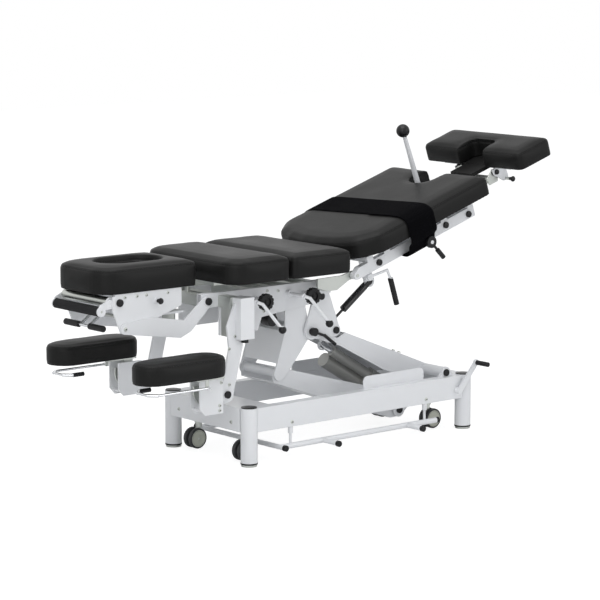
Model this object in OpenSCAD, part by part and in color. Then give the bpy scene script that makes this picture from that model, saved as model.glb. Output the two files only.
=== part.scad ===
// Chiropractic table with a parallelogram lift: a head section on swan-neck arms, two drop sections,
// a tilting leg section with a sliding foot section, and two arm rests, on a tube base with castors.
// X runs along the table to the foot end, Y across it, Z up; the floor is at zero.

/* [Base] */
// Distance along the table between the leg axes
base_l = 1028; // [1000:4:1060]
// Distance across the table between the leg axes
base_w = 436; // [428:2:452]
// Height of a leg with its cap
leg_h = 212; // [208:1:218]
// Outside diameter of a leg
leg_d = 60; // [56:1:64]
// Height of a side rail
rail_h = 85; // [78:1:88]
// Width of a side rail
rail_w = 40; // [36:1:42]
// Wall of the base tubes
base_wall = 3; // [2:0.5:4]
// Width of the beam at the head end
head_beam_w = 130; // [110:2:140]
// Width of the beam at the foot end
foot_beam_w = 60; // [50:2:66]
// Diameter of a castor wheel
wheel_d = 75; // [68:1:78]

/* [Lift] */
// Distance between the two pivots of a lift arm
arm_l = 609; // [600:1:618]
// Angle of the lift arms above level
arm_rise = 19.6; // [19:0.1:20.4]
// Height of the upper arm's pivot on the base
pivot_h = 218; // [214:1:222]
// Outer width of the lift arms
arm_w = 184; // [176:2:188]
// Sheet of the lift arms
arm_t = 4; // [3:0.5:5]
// Diameter of the pivot tubes
pivot_tube_d = 40; // [36:1:44]
// Diameter of the lift's pivot pins
pivot_pin_d = 20; // [16:1:24]

/* [Deck] */
// Height of the underside of the middle pads
deck_h = 648; // [644:1:654]
// Width of the pads over the middle of the table
pad_w = 534; // [500:2:560]
// Thickness of the middle pads to the seam
pad_seam = 70; // [60:1:76]
// Height of a pad's crown over its seam
pad_crown = 18; // [10:1:24]
// Length of the thoracic pad
thoracic_l = 261; // [248:1:266]
// Length of the lumbar pad
lumbar_l = 275; // [262:1:277]
// Drop of a drop section
drop_travel = 15; // [8:1:16]

/* [Head] */
// Length of the head pad
head_l = 407; // [380:1:410]
// Width of the head pad
head_w = 300; // [288:2:320]
// Depth of the face recess
recess_h = 45; // [30:1:50]

/* [Arm rests] */
// Length of an arm rest pad
rest_l = 366; // [340:2:380]
// Width of an arm rest pad
rest_w = 140; // [128:2:146]
// Thickness of an arm rest pad
rest_h = 75; // [65:1:80]

/* [Leg section] */
// Angle of the leg section above level
leg_tilt = 18; // [16:0.5:19]
// Length of the leg pad
leg_pad_l = 698; // [680:2:706]
// Thickness of the leg and foot pads to the seam
slope_seam = 60; // [52:1:64]
// Length of the foot pad
foot_pad_l = 184; // [170:2:200]
// Width of the strap
strap_w = 128; // [100:4:136]
// Diameter of the ball on the flexion lever
ball_d = 50; // [40:1:54]

/* [Hidden] */
$fn = 48;

white = [0.9, 0.91, 0.92];
black = [0.1, 0.1, 0.11];
charcoal = [0.22, 0.22, 0.23];
zinc = [0.62, 0.64, 0.62];
chrome_c = [0.75, 0.76, 0.78];

// Shared clearances and overruns
over = 2;
fit = 0.1;
gap = 0.5;
seat = 0.3;
washer_t = 3;

// Base levels and lines
rail_drop = 7;
rail_top = leg_h - rail_drop;
rail_low = rail_top - rail_h;
rail_y = base_w / 2;
rail_in = rail_y - rail_w / 2;
rail_out = rail_y + rail_w / 2;
beam_back = 26;
ring_t = 5;
foot_t = 8;
cap_t = 5;
ring_over = 1;
foot_in = 2;

// Lift pivots: a and a_low on the base, b and b_low on the carriage
pivot_back = 78;
ax = base_l - pivot_back;
az = pivot_h;
link_dx = 138;
link_dz = 139;
bx = ax - arm_l * cos(arm_rise);
bz = az + arm_l * sin(arm_rise);
alx = ax - link_dx;
alz = az - link_dz;
blx = bx - link_dx;
blz = bz - link_dz;
arm_y = arm_w / 2;
side_y = arm_y + over;
side_t = 6;
tri_y = side_y + side_t;
low_pin_d = 16;
low_tube_d = 36;
eye_r = 27;
ear_r = 22;
ear_t = 8;
ear_gap = 2;
ear_y = rail_in + ear_gap;
ear_half = 38;

// Actuator: base pivot and the pin on the upper arm
act_back = 110;
act_drop = 68;
act_x = ax - act_back;
act_z = az - act_drop;
act_u = 445;
act_n = 26;
act_lean = 40;
actp_x = ax - act_u * cos(arm_rise) + -act_n * sin(arm_rise);
actp_z = az + act_u * sin(arm_rise) - act_n * cos(arm_rise);
act_pin_d = 12;
act_slot_r = 15;
act_tube_d = 38;
act_rod_d = 22;
act_eye_r = 18;
act_eye_w = 24;
act_lug_t = 8;
act_lug_y = act_eye_w / 2 + gap;
fork_t = 6;
lug_w = 10;
act_ang = atan2(actp_z - act_z, act_x - actp_x);
act_len = norm([actp_x - act_x, actp_z - act_z]);

// Deck
frame_top = deck_h - 38;
frame_h = 50;
frame_t = 24;
frame_y = 112;
frame_l0 = -145;
frame_l1 = 445;
board_t = 12;
thoracic_x = -103;
mid_gap = 7;
lumbar_x = thoracic_x + thoracic_l + mid_gap;
beam_x = -50;
beam_w = 40;
beam_y = 238;
pad_y = pad_w / 2;

module place() translate([-mid_x, 0, 0]) children();
knuckle = 0.8;
module both() { children(); mirror([0, 1, 0]) children(); }

// A round bar from one point to another
module bar(p, q, d) {
    v = q - p;
    l = norm(v);
    translate(p) rotate([0, acos(v[2] / l), atan2(v[1], v[0])]) cylinder(d = d, h = l);
}
// A round bar across the table at x, z from y0 to y1
module across(x, z, d, y0, y1) translate([x, y0, z]) rotate([-90, 0, 0]) cylinder(d = d, h = y1 - y0);
// A box from one corner to the other
module block(p, q) translate(p) cube(q - p);
// A profile in x and z, from y0 to y1
module side(pts, y0, y1) translate([0, y1, 0]) rotate([90, 0, 0]) linear_extrude(y1 - y0) polygon(pts);
// A plate with rounded upper corners, from x0 to x1, z0 to z1
module lip(x0, x1, z0, z1, y0, y1, r) union() {
    side([[x0, z0], [x1, z0], [x1, z1 - r], [x1 - r, z1 - r], [x1 - r, z1], [x0 + r, z1], [x0 + r, z1 - r],
        [x0, z1 - r]], y0, y1);
    across(x0 + r, z1 - r, 2 * r, y0, y1);
    across(x1 - r, z1 - r, 2 * r, y0, y1);
}
// Outline points from a table of shares, an origin and two sizes
function spread(share, x, z, dx, dz) = [for (s = share) [x + s[0] * dx, z + s[1] * dz]];
// A cushion's corners are [x, y, radius, inward x, inward y]; each layer draws them in by a crown's share
function sym(pts) = concat(pts, [for (p = pts) [p[0], -p[1], p[2], p[3], -p[4]]]);
side_share = [[0.2, 0], [0, 0.1], [0, 0.88], [0.1, 1]];
crown_share = [[0.1, 0], [0.04, 0.1], [0.64, 0.5], [1.8, 0.86], [4, 1]];
module ring(pts, inset, z) for (p = pts) {
    r = max(p[2] - inset, p[2] / 4);
    slip = inset - (p[2] - r);
    translate([p[0] + p[3] * slip, p[1] + p[4] * slip, z]) cylinder(r = r, h = seat / 3, $fn = 28);
}
// A padded cushion: a side panel drawn in at its foot, a seam, and a domed top panel
module cushion(pts, h, crown) {
    hull() for (s = side_share) ring(pts, s[0] * crown, s[1] * (h - seat / 3));
    hull() for (s = crown_share) ring(pts, s[0] * crown, h - seat / 3 + s[1] * crown);
}

// ---- Base ----
module leg_at() for (x = [0, base_l], s = [-1, 1]) translate([x, s * rail_y, 0]) children();

module legs() color(white) place() leg_at() difference() {
    translate([0, 0, foot_t + ring_t]) cylinder(d = leg_d, h = leg_h - foot_t - ring_t - cap_t);
    translate([0, 0, foot_t + ring_t - over]) cylinder(d = leg_d - 2 * base_wall, h = leg_h);
}
module leg_feet() color(zinc) place() leg_at() {
    cylinder(d = leg_d - 2 * foot_in, h = foot_t - seat);
    translate([0, 0, foot_t - seat]) cylinder(d = leg_d + ring_over, h = ring_t + seat);
}
module side_rails() color(white) place() both() difference() {
    block([0, rail_in, rail_low], [base_l, rail_out, rail_top]);
    block([-over, rail_in + base_wall, rail_low + base_wall],
        [base_l + over, rail_out - base_wall, rail_top - base_wall]);
    for (x = [0, base_l]) translate([x, rail_y, 0]) cylinder(d = leg_d, h = leg_h);
}
module end_beams() color(white) place() {
    for (b = [[-beam_back, head_beam_w - beam_back], [base_l + beam_back - foot_beam_w, base_l + beam_back]])
        difference() {
            block([b[0], -rail_in, rail_low], [b[1], rail_in, rail_top]);
            block([b[0] + base_wall, -rail_in - over, rail_low + base_wall],
                [b[1] - base_wall, rail_in + over, rail_top - base_wall]);
            for (x = [0, base_l], s = [-1, 1]) translate([x, s * rail_y, 0]) cylinder(d = leg_d, h = leg_h);
        }
}
cap_dome = 2;
pivot_cap_d = 26;
pivot_cap_t = 6;
module base_caps() color(black) place() {
    leg_at() translate([0, 0, leg_h - cap_t]) {
        cylinder(d = leg_d - 2 * foot_in, h = cap_t - cap_dome);
        translate([0, 0, cap_t - cap_dome])
            cylinder(d1 = leg_d - 2 * foot_in, d2 = leg_d / 2, h = cap_dome);
    }
    both() {
        across(ax, az, pivot_cap_d, ear_y + ear_t, ear_y + ear_t + pivot_cap_t);
        across(alx, alz, pivot_cap_d, low_y + side_t, low_y + side_t + pivot_cap_t);
    }
}
low_y = side_y + over;
cross_x0 = ax - 78;
cross_l = 60;
cross_gap = 2;
cross_top = rail_top - 23;
guard_x0 = 544;
guard_x1 = 840;
guard_h = 45;
guard_r = 20;
guard_t = 4;
pin_in = 20;
bracket_foot = 40;
module base_lugs() color(white) place() {
    both() {
        // Ears that hold the upper arm's tube
        side([[ax - ear_half, rail_top], [ax + ear_half, rail_top], [ax + ear_r, az], [ax - ear_r, az]],
            ear_y, ear_y + ear_t);
        difference() {
            across(ax, az, 2 * ear_r, ear_y, ear_y + ear_t);
            block([ax - ear_half, ear_y - over, 0], [ax + ear_half, ear_y + ear_t + over, rail_top]);
        }
        across(ax, az, pivot_pin_d, ear_y - pin_in, ear_y);
        // Guards that stand on the rails beside the arms
        lip(guard_x0, guard_x1, rail_top, rail_top + guard_h, ear_y, ear_y + guard_t, guard_r);
        // Brackets that hold the lower arm
        side([[alx, alz - eye_r], [cross_x0 + cross_l / 2, rail_low], [cross_x0 + cross_l, cross_top],
            [cross_x0, cross_top], [alx - eye_r / 2, alz + eye_r / 2]], low_y, low_y + side_t);
        across(alx, alz, 2 * eye_r, low_y, low_y + side_t);
        across(alx, alz, low_pin_d, low_y - pin_in, low_y);
        // Sleeves that guide the foot bar
        for (x = hang_x) translate([x, bar_y, rail_low - sleeve_l]) difference() {
            cylinder(d = sleeve_d, h = sleeve_l);
            translate([0, 0, -over]) cylinder(d = hang_d + 2 * fit, h = sleeve_l + 2 * over);
        }
        // Lugs for the actuator
        side([[act_x, act_z - act_eye_r], [cross_x0, rail_low + base_wall], [cross_x0, cross_top - base_wall],
            [act_x, act_z + act_eye_r]], act_lug_y, act_lug_y + act_lug_t);
        across(act_x, act_z, 2 * act_eye_r, act_lug_y, act_lug_y + act_lug_t);
    }
    across(act_x, act_z, act_pin_d, -act_lug_y, act_lug_y);
    // Cross member between the rails
    difference() {
        block([cross_x0, -rail_in, rail_low], [cross_x0 + cross_l, rail_in, cross_top]);
        block([cross_x0 + base_wall, -rail_in - over, rail_low + base_wall],
            [cross_x0 + cross_l - base_wall, rail_in + over, cross_top - base_wall]);
    }
}
// Castors
castor_x = [56, 916];
castor_y = 140;
castor_trail = 18;
// The head pair trails toward the head and the foot pair toward the foot
function trail_of(i) = (2 * i - 1) * castor_trail;
wheel_lift = 1;
stem_d = 22;
stem_top = rail_low;
fork_top = 92;
rod_d = 20;
bolt_d = 12;
module castor_frame() color(zinc) place() for (x = castor_x) {
    for (s = [-1, 1]) translate([x, s * castor_y, fork_top]) {
        difference() {
            cylinder(d = stem_d + rod_d / 2, h = stem_top - fork_top);
            translate([0, 0, -over]) cylinder(d = bolt_d + 2 * fit, h = stem_top - fork_top);
        }
    }
    across(x, fork_top + stem_d / 2, rod_d, -castor_y + stem_d / 2, castor_y - stem_d / 2);
}
wheel_w = 18;
hood_w = 10;
axle_d = 8;
module fork_at(i, s) color(zinc) place() translate([castor_x[i], s * castor_y, 0]) {
    wheel_r = wheel_d / 2 + wheel_lift;
    trail = trail_of(i);
    translate([0, 0, wheel_d + over]) cylinder(d = stem_d + over, h = fork_top - wheel_d - over - gap);
    translate([0, 0, fork_top - 2 * gap]) cylinder(d = bolt_d, h = pin_in);
    // Hood between the twin wheels
    side([[-stem_d / 2, wheel_d + 2 * over], [stem_d / 2, wheel_d + 2 * over],
        [trail + axle_d, wheel_r], [trail - axle_d, wheel_r]], -hood_w / 2, hood_w / 2);
    across(trail, wheel_r, 2 * axle_d, -hood_w / 2, hood_w / 2);
    across(trail, wheel_r, axle_d, -hood_w / 2 - wheel_w, hood_w / 2 + wheel_w);
}
tread_in = 4;
module wheels_at(i, s) color(black) place()
    translate([castor_x[i] + trail_of(i), s * castor_y, wheel_d / 2 + wheel_lift]) both()
        rotate([-90, 0, 0]) translate([0, 0, hood_w / 2 + gap]) rotate_extrude()
            polygon([[axle_d / 2 + fit, 0], [wheel_d / 2 - tread_in, 0], [wheel_d / 2, tread_in],
                [wheel_d / 2, wheel_w - tread_in], [wheel_d / 2 - tread_in, wheel_w],
                [wheel_d / 3, wheel_w - tread_in / 2], [axle_d / 2 + fit, wheel_w - tread_in / 2]]);
module fork_head_near() fork_at(0, -1);
module fork_head_far() fork_at(0, 1);
module fork_foot_near() fork_at(1, -1);
module fork_foot_far() fork_at(1, 1);
module wheels_head_near() wheels_at(0, -1);
module wheels_head_far() wheels_at(0, 1);
module wheels_foot_near() wheels_at(1, -1);
module wheels_foot_far() wheels_at(1, 1);

crank_x = base_l - 50;
crank_z = rail_low + 32;
crank_l = 128;
crank_ang = 50;
crank_w = 22;
crank_t = 7;
crank_grip_l = 62;
crank_hub_l = 12;
crank_grip_d = 18;
module castor_crank() color(white) place() translate([crank_x, -rail_out - gap, crank_z]) {
    across(0, 0, crank_w + over, -crank_hub_l - crank_t, 0);
    rotate([0, -crank_ang, 0]) {
        block([crank_w / 4, -crank_hub_l - crank_t + gap, -crank_w / 2],
            [crank_l - crank_w / 4, -crank_hub_l, crank_w / 2]);
        across(crank_l, 0, crank_w + over, -crank_hub_l - crank_t, -crank_hub_l + gap);
        across(crank_l, 0, crank_grip_d, -crank_hub_l - crank_t - crank_grip_l, -crank_hub_l - over);
    }
}
// Foot control bar: a loop of tube hung from rods that slide in sleeves under the side rails
bar_in = 10;
bar_y = rail_out - bar_in;
bar_z = 50;
bar_x0 = 135;
bar_x1 = 880;
bar_d = 20;
stub_l = 80;
hang_d = 10;
hang_x = [179, 823];
sleeve_d = 18;
sleeve_l = 24;
stub_x = [330, 736];
bar_cap_d = 22;
bar_cap_l = 12;
module foot_bar() color(white) place() {
    both() {
        bar([bar_x0, bar_y, bar_z], [bar_x1, bar_y, bar_z], bar_d);
        bar([bar_x1, bar_y, bar_z], [bar_x1 + bar_cap_l, bar_y, bar_z], bar_cap_d);
        for (x = hang_x) translate([x, bar_y, bar_z]) cylinder(d = hang_d, h = rail_low - bar_in - bar_z);
        across(bar_x0, bar_z, bar_cap_d, bar_y + bar_d, bar_y + bar_d + bar_cap_l);
    }
    across(bar_x0, bar_z, bar_d - over, -bar_y - bar_d, bar_y + bar_d);
    for (x = stub_x) {
        across(x, bar_z, bar_d - over, -bar_y - stub_l, -bar_y);
        across(x, bar_z, bar_cap_d, -bar_y - stub_l - bar_cap_l, -bar_y - stub_l);
    }
}

// ---- Lift ----
module upper_space() translate([ax, 0, az]) rotate([0, arm_rise, 0]) children();
module lower_space() translate([alx, 0, alz]) rotate([0, arm_rise, 0]) children();
// Outlines of the arms' side flanges: distance from the base pivot as a share of the arm's length,
// and height as a share of the pivot tube
upper_share = [[-0.03, -0.45], [-0.03, 0.45], [0.04, 0.52], [0.71, 0.9], [0.76, 0.2], [0.9, 0.2], [0.98, 0.5],
    [1.035, 0.3], [1.035, -0.3], [0.99, -0.5], [0.73, -0.4], [0.33, -1.3], [0.12, -1.3]];
web_share = 0.71;
web_low_share = 0.95;
lower_share = [[-0.035, -0.5], [-0.035, 0.4], [0.03, 0.7], [0.33, 1.22], [0.93, 0.58], [1.03, 0.45],
    [1.04, -0.4], [1.02, -web_low_share], [0.04, -web_low_share]];
tube_end = 3;
module upper_arm() color(white) place() upper_space() {
    difference() {
        union() {
            both() side([for (s = upper_share) [-s[0] * arm_l, s[1] * pivot_tube_d]], arm_y - arm_t, arm_y);
            side([[-0.04 * arm_l, 0.52 * pivot_tube_d], [-web_share * arm_l, 0.9 * pivot_tube_d],
                [-web_share * arm_l, 0.9 * pivot_tube_d - arm_t],
                [-0.04 * arm_l, 0.52 * pivot_tube_d - arm_t]], -arm_y, arm_y);
            across(0, 0, pivot_tube_d, -ear_y + washer_t, ear_y - washer_t);
            across(-arm_l, 0, low_tube_d, -arm_y, arm_y);
            // Lug for the actuator's pin
            side([[-act_u - act_eye_r, -act_n], [-act_u + lug_w, -act_n - act_eye_r],
                [-act_u + act_lean, 0.85 * pivot_tube_d], [-web_share * arm_l, 0.85 * pivot_tube_d]],
                -lug_w / 2, lug_w / 2);
            across(-act_u, -act_n, 2 * act_slot_r + pivot_tube_d / 4, -lug_w / 2, lug_w / 2);
        }
        across(0, 0, pivot_pin_d + 2 * fit, -ear_y, ear_y);
        across(-arm_l, 0, low_pin_d + 2 * fit, -arm_y - over, arm_y + over);
        across(-act_u, -act_n, 2 * act_slot_r, -lug_w, lug_w);
    }
}
module lower_arm() color(white) place() lower_space() {
    difference() {
        union() {
            both() side([for (s = lower_share) [-s[0] * arm_l, s[1] * pivot_tube_d]], arm_y - arm_t, arm_y);
            block([-1.02 * arm_l, -arm_y, -web_low_share * pivot_tube_d],
                [-0.04 * arm_l, arm_y, -web_low_share * pivot_tube_d + arm_t]);
            across(0, 0, low_tube_d, -arm_y, arm_y);
            across(-arm_l, 0, low_tube_d, -arm_y, arm_y);
        }
        across(0, 0, low_pin_d + 2 * fit, -arm_y - over, arm_y + over);
        across(-arm_l, 0, low_pin_d + 2 * fit, -arm_y - over, arm_y + over);
    }
}
// Actuator, along its own axis from the base pivot to the pin on the arm
gear_u = 50;
gear_l = 62;
motor_d = 54;
motor_l = 190;
motor_y = 44;
motor_z = 34;
tube_share = 0.86;
module act_space() translate([act_x, 0, act_z]) rotate([0, act_ang, 0]) mirror([1, 0, 0]) children();
module actuator_tube() color(zinc) place() act_space() {
    difference() {
        union() {
            across(0, 0, 2 * act_eye_r, -act_eye_w / 2, act_eye_w / 2);
            bar([act_eye_r / 2, 0, 0], [gear_u + over, 0, 0], act_eye_w - 2 * over);
            bar([gear_u, 0, 0], [gear_u + gear_l, 0, 0], motor_d);
            bar([gear_u + gear_l, 0, 0], [tube_share * act_len, 0, 0], act_tube_d);
            // Gear housing that reaches across to the motor beside the tube
            rotate([-atan2(motor_z, motor_y), 0, 0]) block([gear_u + over, 0, -motor_d / 2 + over],
                [gear_u + gear_l - over, norm([motor_y, motor_z]), motor_d / 2 - over]);
            bar([gear_u, motor_y, -motor_z], [gear_u + gear_l + motor_l, motor_y, -motor_z], motor_d);
        }
        across(0, 0, act_pin_d + 2 * fit, -act_eye_w, act_eye_w);
        bar([gear_u + gear_l, 0, 0], [act_len, 0, 0], act_rod_d + 2 * fit);
    }
}
rod_in = 30;
module actuator_rod() color(chrome_c) place() act_space() {
    bar([gear_u + gear_l + rod_in, 0, 0], [act_len - act_eye_r - lug_w, 0, 0], act_rod_d);
    // Clevis that straddles the arm's lug
    bar([act_len - act_eye_r - 2 * lug_w, 0, 0], [act_len - act_eye_r - lug_w, 0, 0],
        lug_w + 2 * (gap + fork_t));
    both() {
        block([act_len - act_eye_r - 2 * lug_w, lug_w / 2 + gap, -act_eye_r / 2],
            [act_len, lug_w / 2 + gap + fork_t, act_eye_r / 2]);
        across(act_len, 0, act_eye_r, lug_w / 2 + gap, lug_w / 2 + gap + fork_t);
    }
    across(act_len, 0, act_pin_d, -lug_w / 2 - gap - fork_t, lug_w / 2 + gap + fork_t);
}

// ---- Carriage ----
frame_low = frame_top - frame_h;
cross_h = 40;
cross_w = 30;
cross_x = [-100, 110, 205, 310, 405];
cross_wall = 3;
frame_in = frame_y;
frame_out = frame_y + frame_t;
tri_t = 8;
tri_in = frame_in - tri_t;
cross_end = [frame_in, frame_in, frame_in, frame_in, tri_in];
gas_x = bx + 114;
gas_z = bz - 7;
gas_pin_d = 12;
apex_x = bx + 44;
apex_z = bz + 124;
sheet_t = 4;
plate_share = [[-0.17, 0.05], [0.17, 1.08], [0.17, 3], [0.78, 3], [0.95, 1.25], [1.15, 1.1], [1.1, 0.85],
    [0.935, 0.78], [0.23, -0.05], [-0.1, -0.1]];
front_share = [[-0.09, 0.27], [0.17, 1.08], [0.2, 1.08], [-0.06, 0.27]];
lid_share = [[0.17, 1.08], [0.66, 1.13], [0.66, 1.1], [0.2, 1.05]];
tri_share = [[-0.24, 0], [0.12, 1.05], [0.14, 1.28], [0.52, 1.28], [0.56, 1.05], [0.98, -0.05], [0.82, -0.22],
    [0, -0.2]];
tri_eye_r = 30;
gas_eye_r = 22;
module carriage_plates() color(white) place() {
    both() {
        // Link plates that hold the two lift arms level
        side([for (s = plate_share) [blx + s[0] * link_dx, min(blz + s[1] * link_dz, frame_low)]],
            side_y, tri_y);
        across(blx, blz, 2 * eye_r, side_y, tri_y);
        across(bx, bz, 2 * eye_r, side_y, tri_y);
        // Triangle plates outside them, up to the frame
        side(spread(tri_share, bx, bz, link_dx, link_dz), tri_in, frame_in);
        across(bx, bz, 2 * tri_eye_r, tri_in, frame_in);
        across(gas_x, gas_z, 2 * gas_eye_r, tri_in, frame_in);
        across(bx, bz, 2 * eye_r, tri_y, tri_in);
        across(bx, bz, low_pin_d, side_y - pin_in, side_y);
        across(blx, blz, low_pin_d, side_y - pin_in, side_y);
    }
    across(gas_x, gas_z, gas_pin_d, -tri_in, tri_in);
    side(spread(front_share, blx, blz, link_dx, link_dz), -side_y, side_y);
    side(spread(lid_share, blx, blz, link_dx, link_dz), -side_y, side_y);
}
head_x = -122;
head_z = 585;
head_pin_d = 20;
boss_d = 26;
boss_l = 14;
shaft_d = 12;
lever_x = [30, 246];
lever_z = 577;
wheel_x = [100, 316];
wheel_z = 566;
skirt_t = 6;
skirt_z = 105;
skirt_share = [[0, 1], [0.4, 1], [0.44, 0.57], [0.98, 0.34], [1.04, 0], [0, 0]];
skirt_l = 430;
head_gap = 6;
module frame_rails() color(white) place() {
    both() {
        difference() {
            block([frame_l0, frame_in, frame_low], [frame_l1, frame_out, frame_top]);
            block([frame_l0 - over, frame_in + cross_wall, frame_low + cross_wall],
                [frame_l1 + over, frame_out - cross_wall, frame_top - cross_wall]);
        }
        side(spread(skirt_share, beam_x, frame_low, skirt_l, -skirt_z), frame_in, frame_in + skirt_t);
        // Pivots of the head section's arms
        across(head_x, head_z, head_pin_d, frame_out, head_arm_y + plate_t);
        across(head_x, head_z, head_pin_d + 2 * head_gap, frame_out, head_arm_y - gap);
    }
    // Bosses for the levers and the hand wheels
    for (p = [[lever_x[0], lever_z], [lever_x[1], lever_z], [wheel_x[0], wheel_z], [wheel_x[1], wheel_z]])
        difference() {
            across(p[0], p[1], boss_d, -frame_out - boss_l, -frame_out);
            across(p[0], p[1], shaft_d + 2 * fit, -frame_out - boss_l - over, -frame_out + over);
        }
}
post_d = 14;
post_boss = 26;
post_x = [cross_x[0], cross_x[1], cross_x[2], cross_x[4]];
rest_in = 205;
rest_box_w = 45;
module frame_cross() color(zinc) place() {
    difference() {
        for (i = [0:4]) translate([cross_x[i], 0, frame_low]) {
            difference() {
                block([-cross_w / 2, -cross_end[i], 0], [cross_w / 2, cross_end[i], cross_h]);
                block([-cross_w / 2 + cross_wall, -frame_in - over, cross_wall],
                    [cross_w / 2 - cross_wall, frame_in + over, cross_h - cross_wall]);
            }
            cylinder(d = post_boss, h = cross_h);
        }
        for (x = post_x) translate([x, 0, frame_low - over])
            cylinder(d = post_d + 2 * fit, h = cross_h + 2 * over);
    }
    // Beam that carries the arm rests
    block([beam_x - beam_w / 2, -frame_in, frame_low], [beam_x + beam_w / 2, frame_in, frame_low + cross_h]);
    both() {
        block([beam_x - beam_w / 2, frame_out, frame_low],
            [beam_x + beam_w / 2, rest_in, frame_low + cross_h]);
        block([beam_x - skirt_t, frame_out, frame_low - skirt_z + over], [beam_x, rest_in, frame_low]);
    }
}
// Hinge lugs of the leg section
hinge_x = 515;
hinge_z = deck_h - 26;
lug_y = 168;
lug_t = 8;
hinge_pin_d = 12;
hinge_eye_r = 15;
leg_rail_y = 178;
leg_rail_w = 24;
lug_share = [[-1, -0.3], [-0.73, -0.43], [-0.45, -0.43], [-0.1, -0.15], [0.06, -0.12], [0.06, 0.1],
    [-0.08, 0.1], [-0.3, 0.02], [-1, 0]];
lug_l = 165;
lug_h = 112;
out_x0 = 398;
out_x1 = 436;
out_drop = 8;
module hinge_lugs() color(zinc) place() both() {
    side(spread(lug_share, hinge_x, hinge_z, lug_l, lug_h), lug_y, lug_y + lug_t);
    across(hinge_x, hinge_z, 2 * hinge_eye_r, lug_y, lug_y + lug_t);
    across(hinge_x, hinge_z, hinge_pin_d, lug_y + lug_t, leg_rail_y + leg_rail_w + over);
    block([out_x0, frame_out, frame_low + cap_t + out_drop], [out_x1, lug_y, frame_top - out_drop]);
}

// ---- Arm rests ----
hang_x0 = -60;
hang_x1 = 0;
hang_z = 455;
hang_top = 600;
strap_in = 212;
strap_plate_t = 8;
strap_l = 315;
strap_eye_r = 28;
hang_eye_x = -97;
hang_eye_z = 266;
strap_share = [[0.11, 1], [0, 0.75], [0.03, 0.505], [-0.09, 0.01], [0.09, 0.01], [0.22, 0.52], [0.19, 0.75],
    [0.295, 1]];
case_x0 = -250;
case_x1 = -150;
case_z0 = 215;
case_z1 = 335;
case_in = strap_in - side_t;
case_out = 258;
case_share = [[0, 1], [0, 0.2], [0.22, 0], [1, 0], [1, 1]];
case_in_share = [[0, 1], [0, 0.2], [0.22, 0], [1, 0], [1.62, 0.2], [1.75, 0.58], [1.5, 0.68], [1, 1]];
case_rod_d = 10;
case_low_share = [[0.15, 0.14], [0.85, 0.1]];
rest_px = -186;
rest_pz = 300;
rest_pin_d = 10;
module arm_hangers() color(white) place() both() {
    difference() {
        block([hang_x0, rest_in, hang_z], [hang_x1, rest_in + rest_box_w, hang_top]);
        block([hang_x0 + sheet_t, rest_in + sheet_t, hang_z - over],
            [hang_x1 - sheet_t, rest_in + rest_box_w - sheet_t, hang_top - sheet_t]);
    }
    side(spread(strap_share, hang_eye_x, hang_eye_z, strap_l, strap_l), strap_in, strap_in + strap_plate_t);
    across(hang_eye_x, hang_eye_z, 2 * strap_eye_r, strap_in, strap_in + strap_plate_t);
    // Case of two plates that holds the rest's pivot
    side(spread(case_in_share, case_x0, case_z0, case_x1 - case_x0, case_z1 - case_z0), case_in, strap_in);
    side(spread(case_share, case_x0, case_z0, case_x1 - case_x0, case_z1 - case_z0), case_out,
        case_out + side_t);
    for (p = spread(case_low_share, case_x0, case_z0, case_x1 - case_x0, case_z1 - case_z0))
        across(p[0], p[1], case_rod_d, strap_in, case_out);
    across(rest_px, rest_pz, rest_pin_d, strap_in, case_out);
}
rest_mid = 253;
rest_low = 352;
rest_x1 = -147;
rest_plate_t = 6;
rest_plate_x0 = -292;
rest_plate_x1 = -176;
rest_plate_w = 108;
rest_arm_w = 20;
rest_arm_y = 225;
squeeze_x = -240;
squeeze_z = 318;
squeeze_lug = 6;
squeeze_y = 300;
squeeze_pin_d = 6;
squeeze_eye_d = 14;
sector_d = 130;
module rest_stem() color(zinc) {
    difference() {
        union() {
            side([[rest_px - boss_l, rest_pz - boss_l], [rest_px + boss_l, rest_pz - boss_l],
                [rest_px + boss_l / 2, rest_low - rest_plate_t],
                [rest_px - 2 * boss_l, rest_low - rest_plate_t]], rest_arm_y, rest_arm_y + rest_arm_w);
            // Slotted quarter disc that the rest is locked by
            intersection() {
                across(rest_px, rest_pz, sector_d, rest_arm_y, rest_arm_y + side_t);
                block([rest_px - sector_d, rest_arm_y, rest_pz - sector_d],
                    [rest_px - over, rest_arm_y + side_t, rest_pz + boss_l]);
            }
        }
        across(rest_px, rest_pz, rest_pin_d + 2 * fit, rest_in, case_out);
    }
    block([rest_plate_x0, rest_mid - rest_plate_w / 2, rest_low - rest_plate_t],
        [rest_plate_x1, rest_mid + rest_plate_w / 2, rest_low]);
    // Lug and pin of the squeeze handle
    block([squeeze_x - squeeze_lug, squeeze_y - squeeze_lug - squeeze_pin_d, squeeze_z - squeeze_lug],
        [squeeze_x + squeeze_lug, squeeze_y - squeeze_lug, rest_low - rest_plate_t]);
    across(squeeze_x, squeeze_z, squeeze_pin_d, squeeze_y - squeeze_lug, squeeze_y + squeeze_lug / 2);
}
module rest_pad() color(charcoal) translate([0, 0, rest_low])
    cushion([[rest_x1 - rest_w / 2, rest_mid, rest_w / 2, -1, 0],
        [rest_x1 - rest_l + rest_w / 2, rest_mid, rest_w / 2, 1, 0]], rest_h - rest_crown, rest_crown);
rest_crown = 14;
squeeze_d = 9;
squeeze_l = 215;
squeeze_bend = 24;
squeeze_end_y = 195;
squeeze_grip_d = 15;
squeeze_grip_l = 46;
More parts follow.
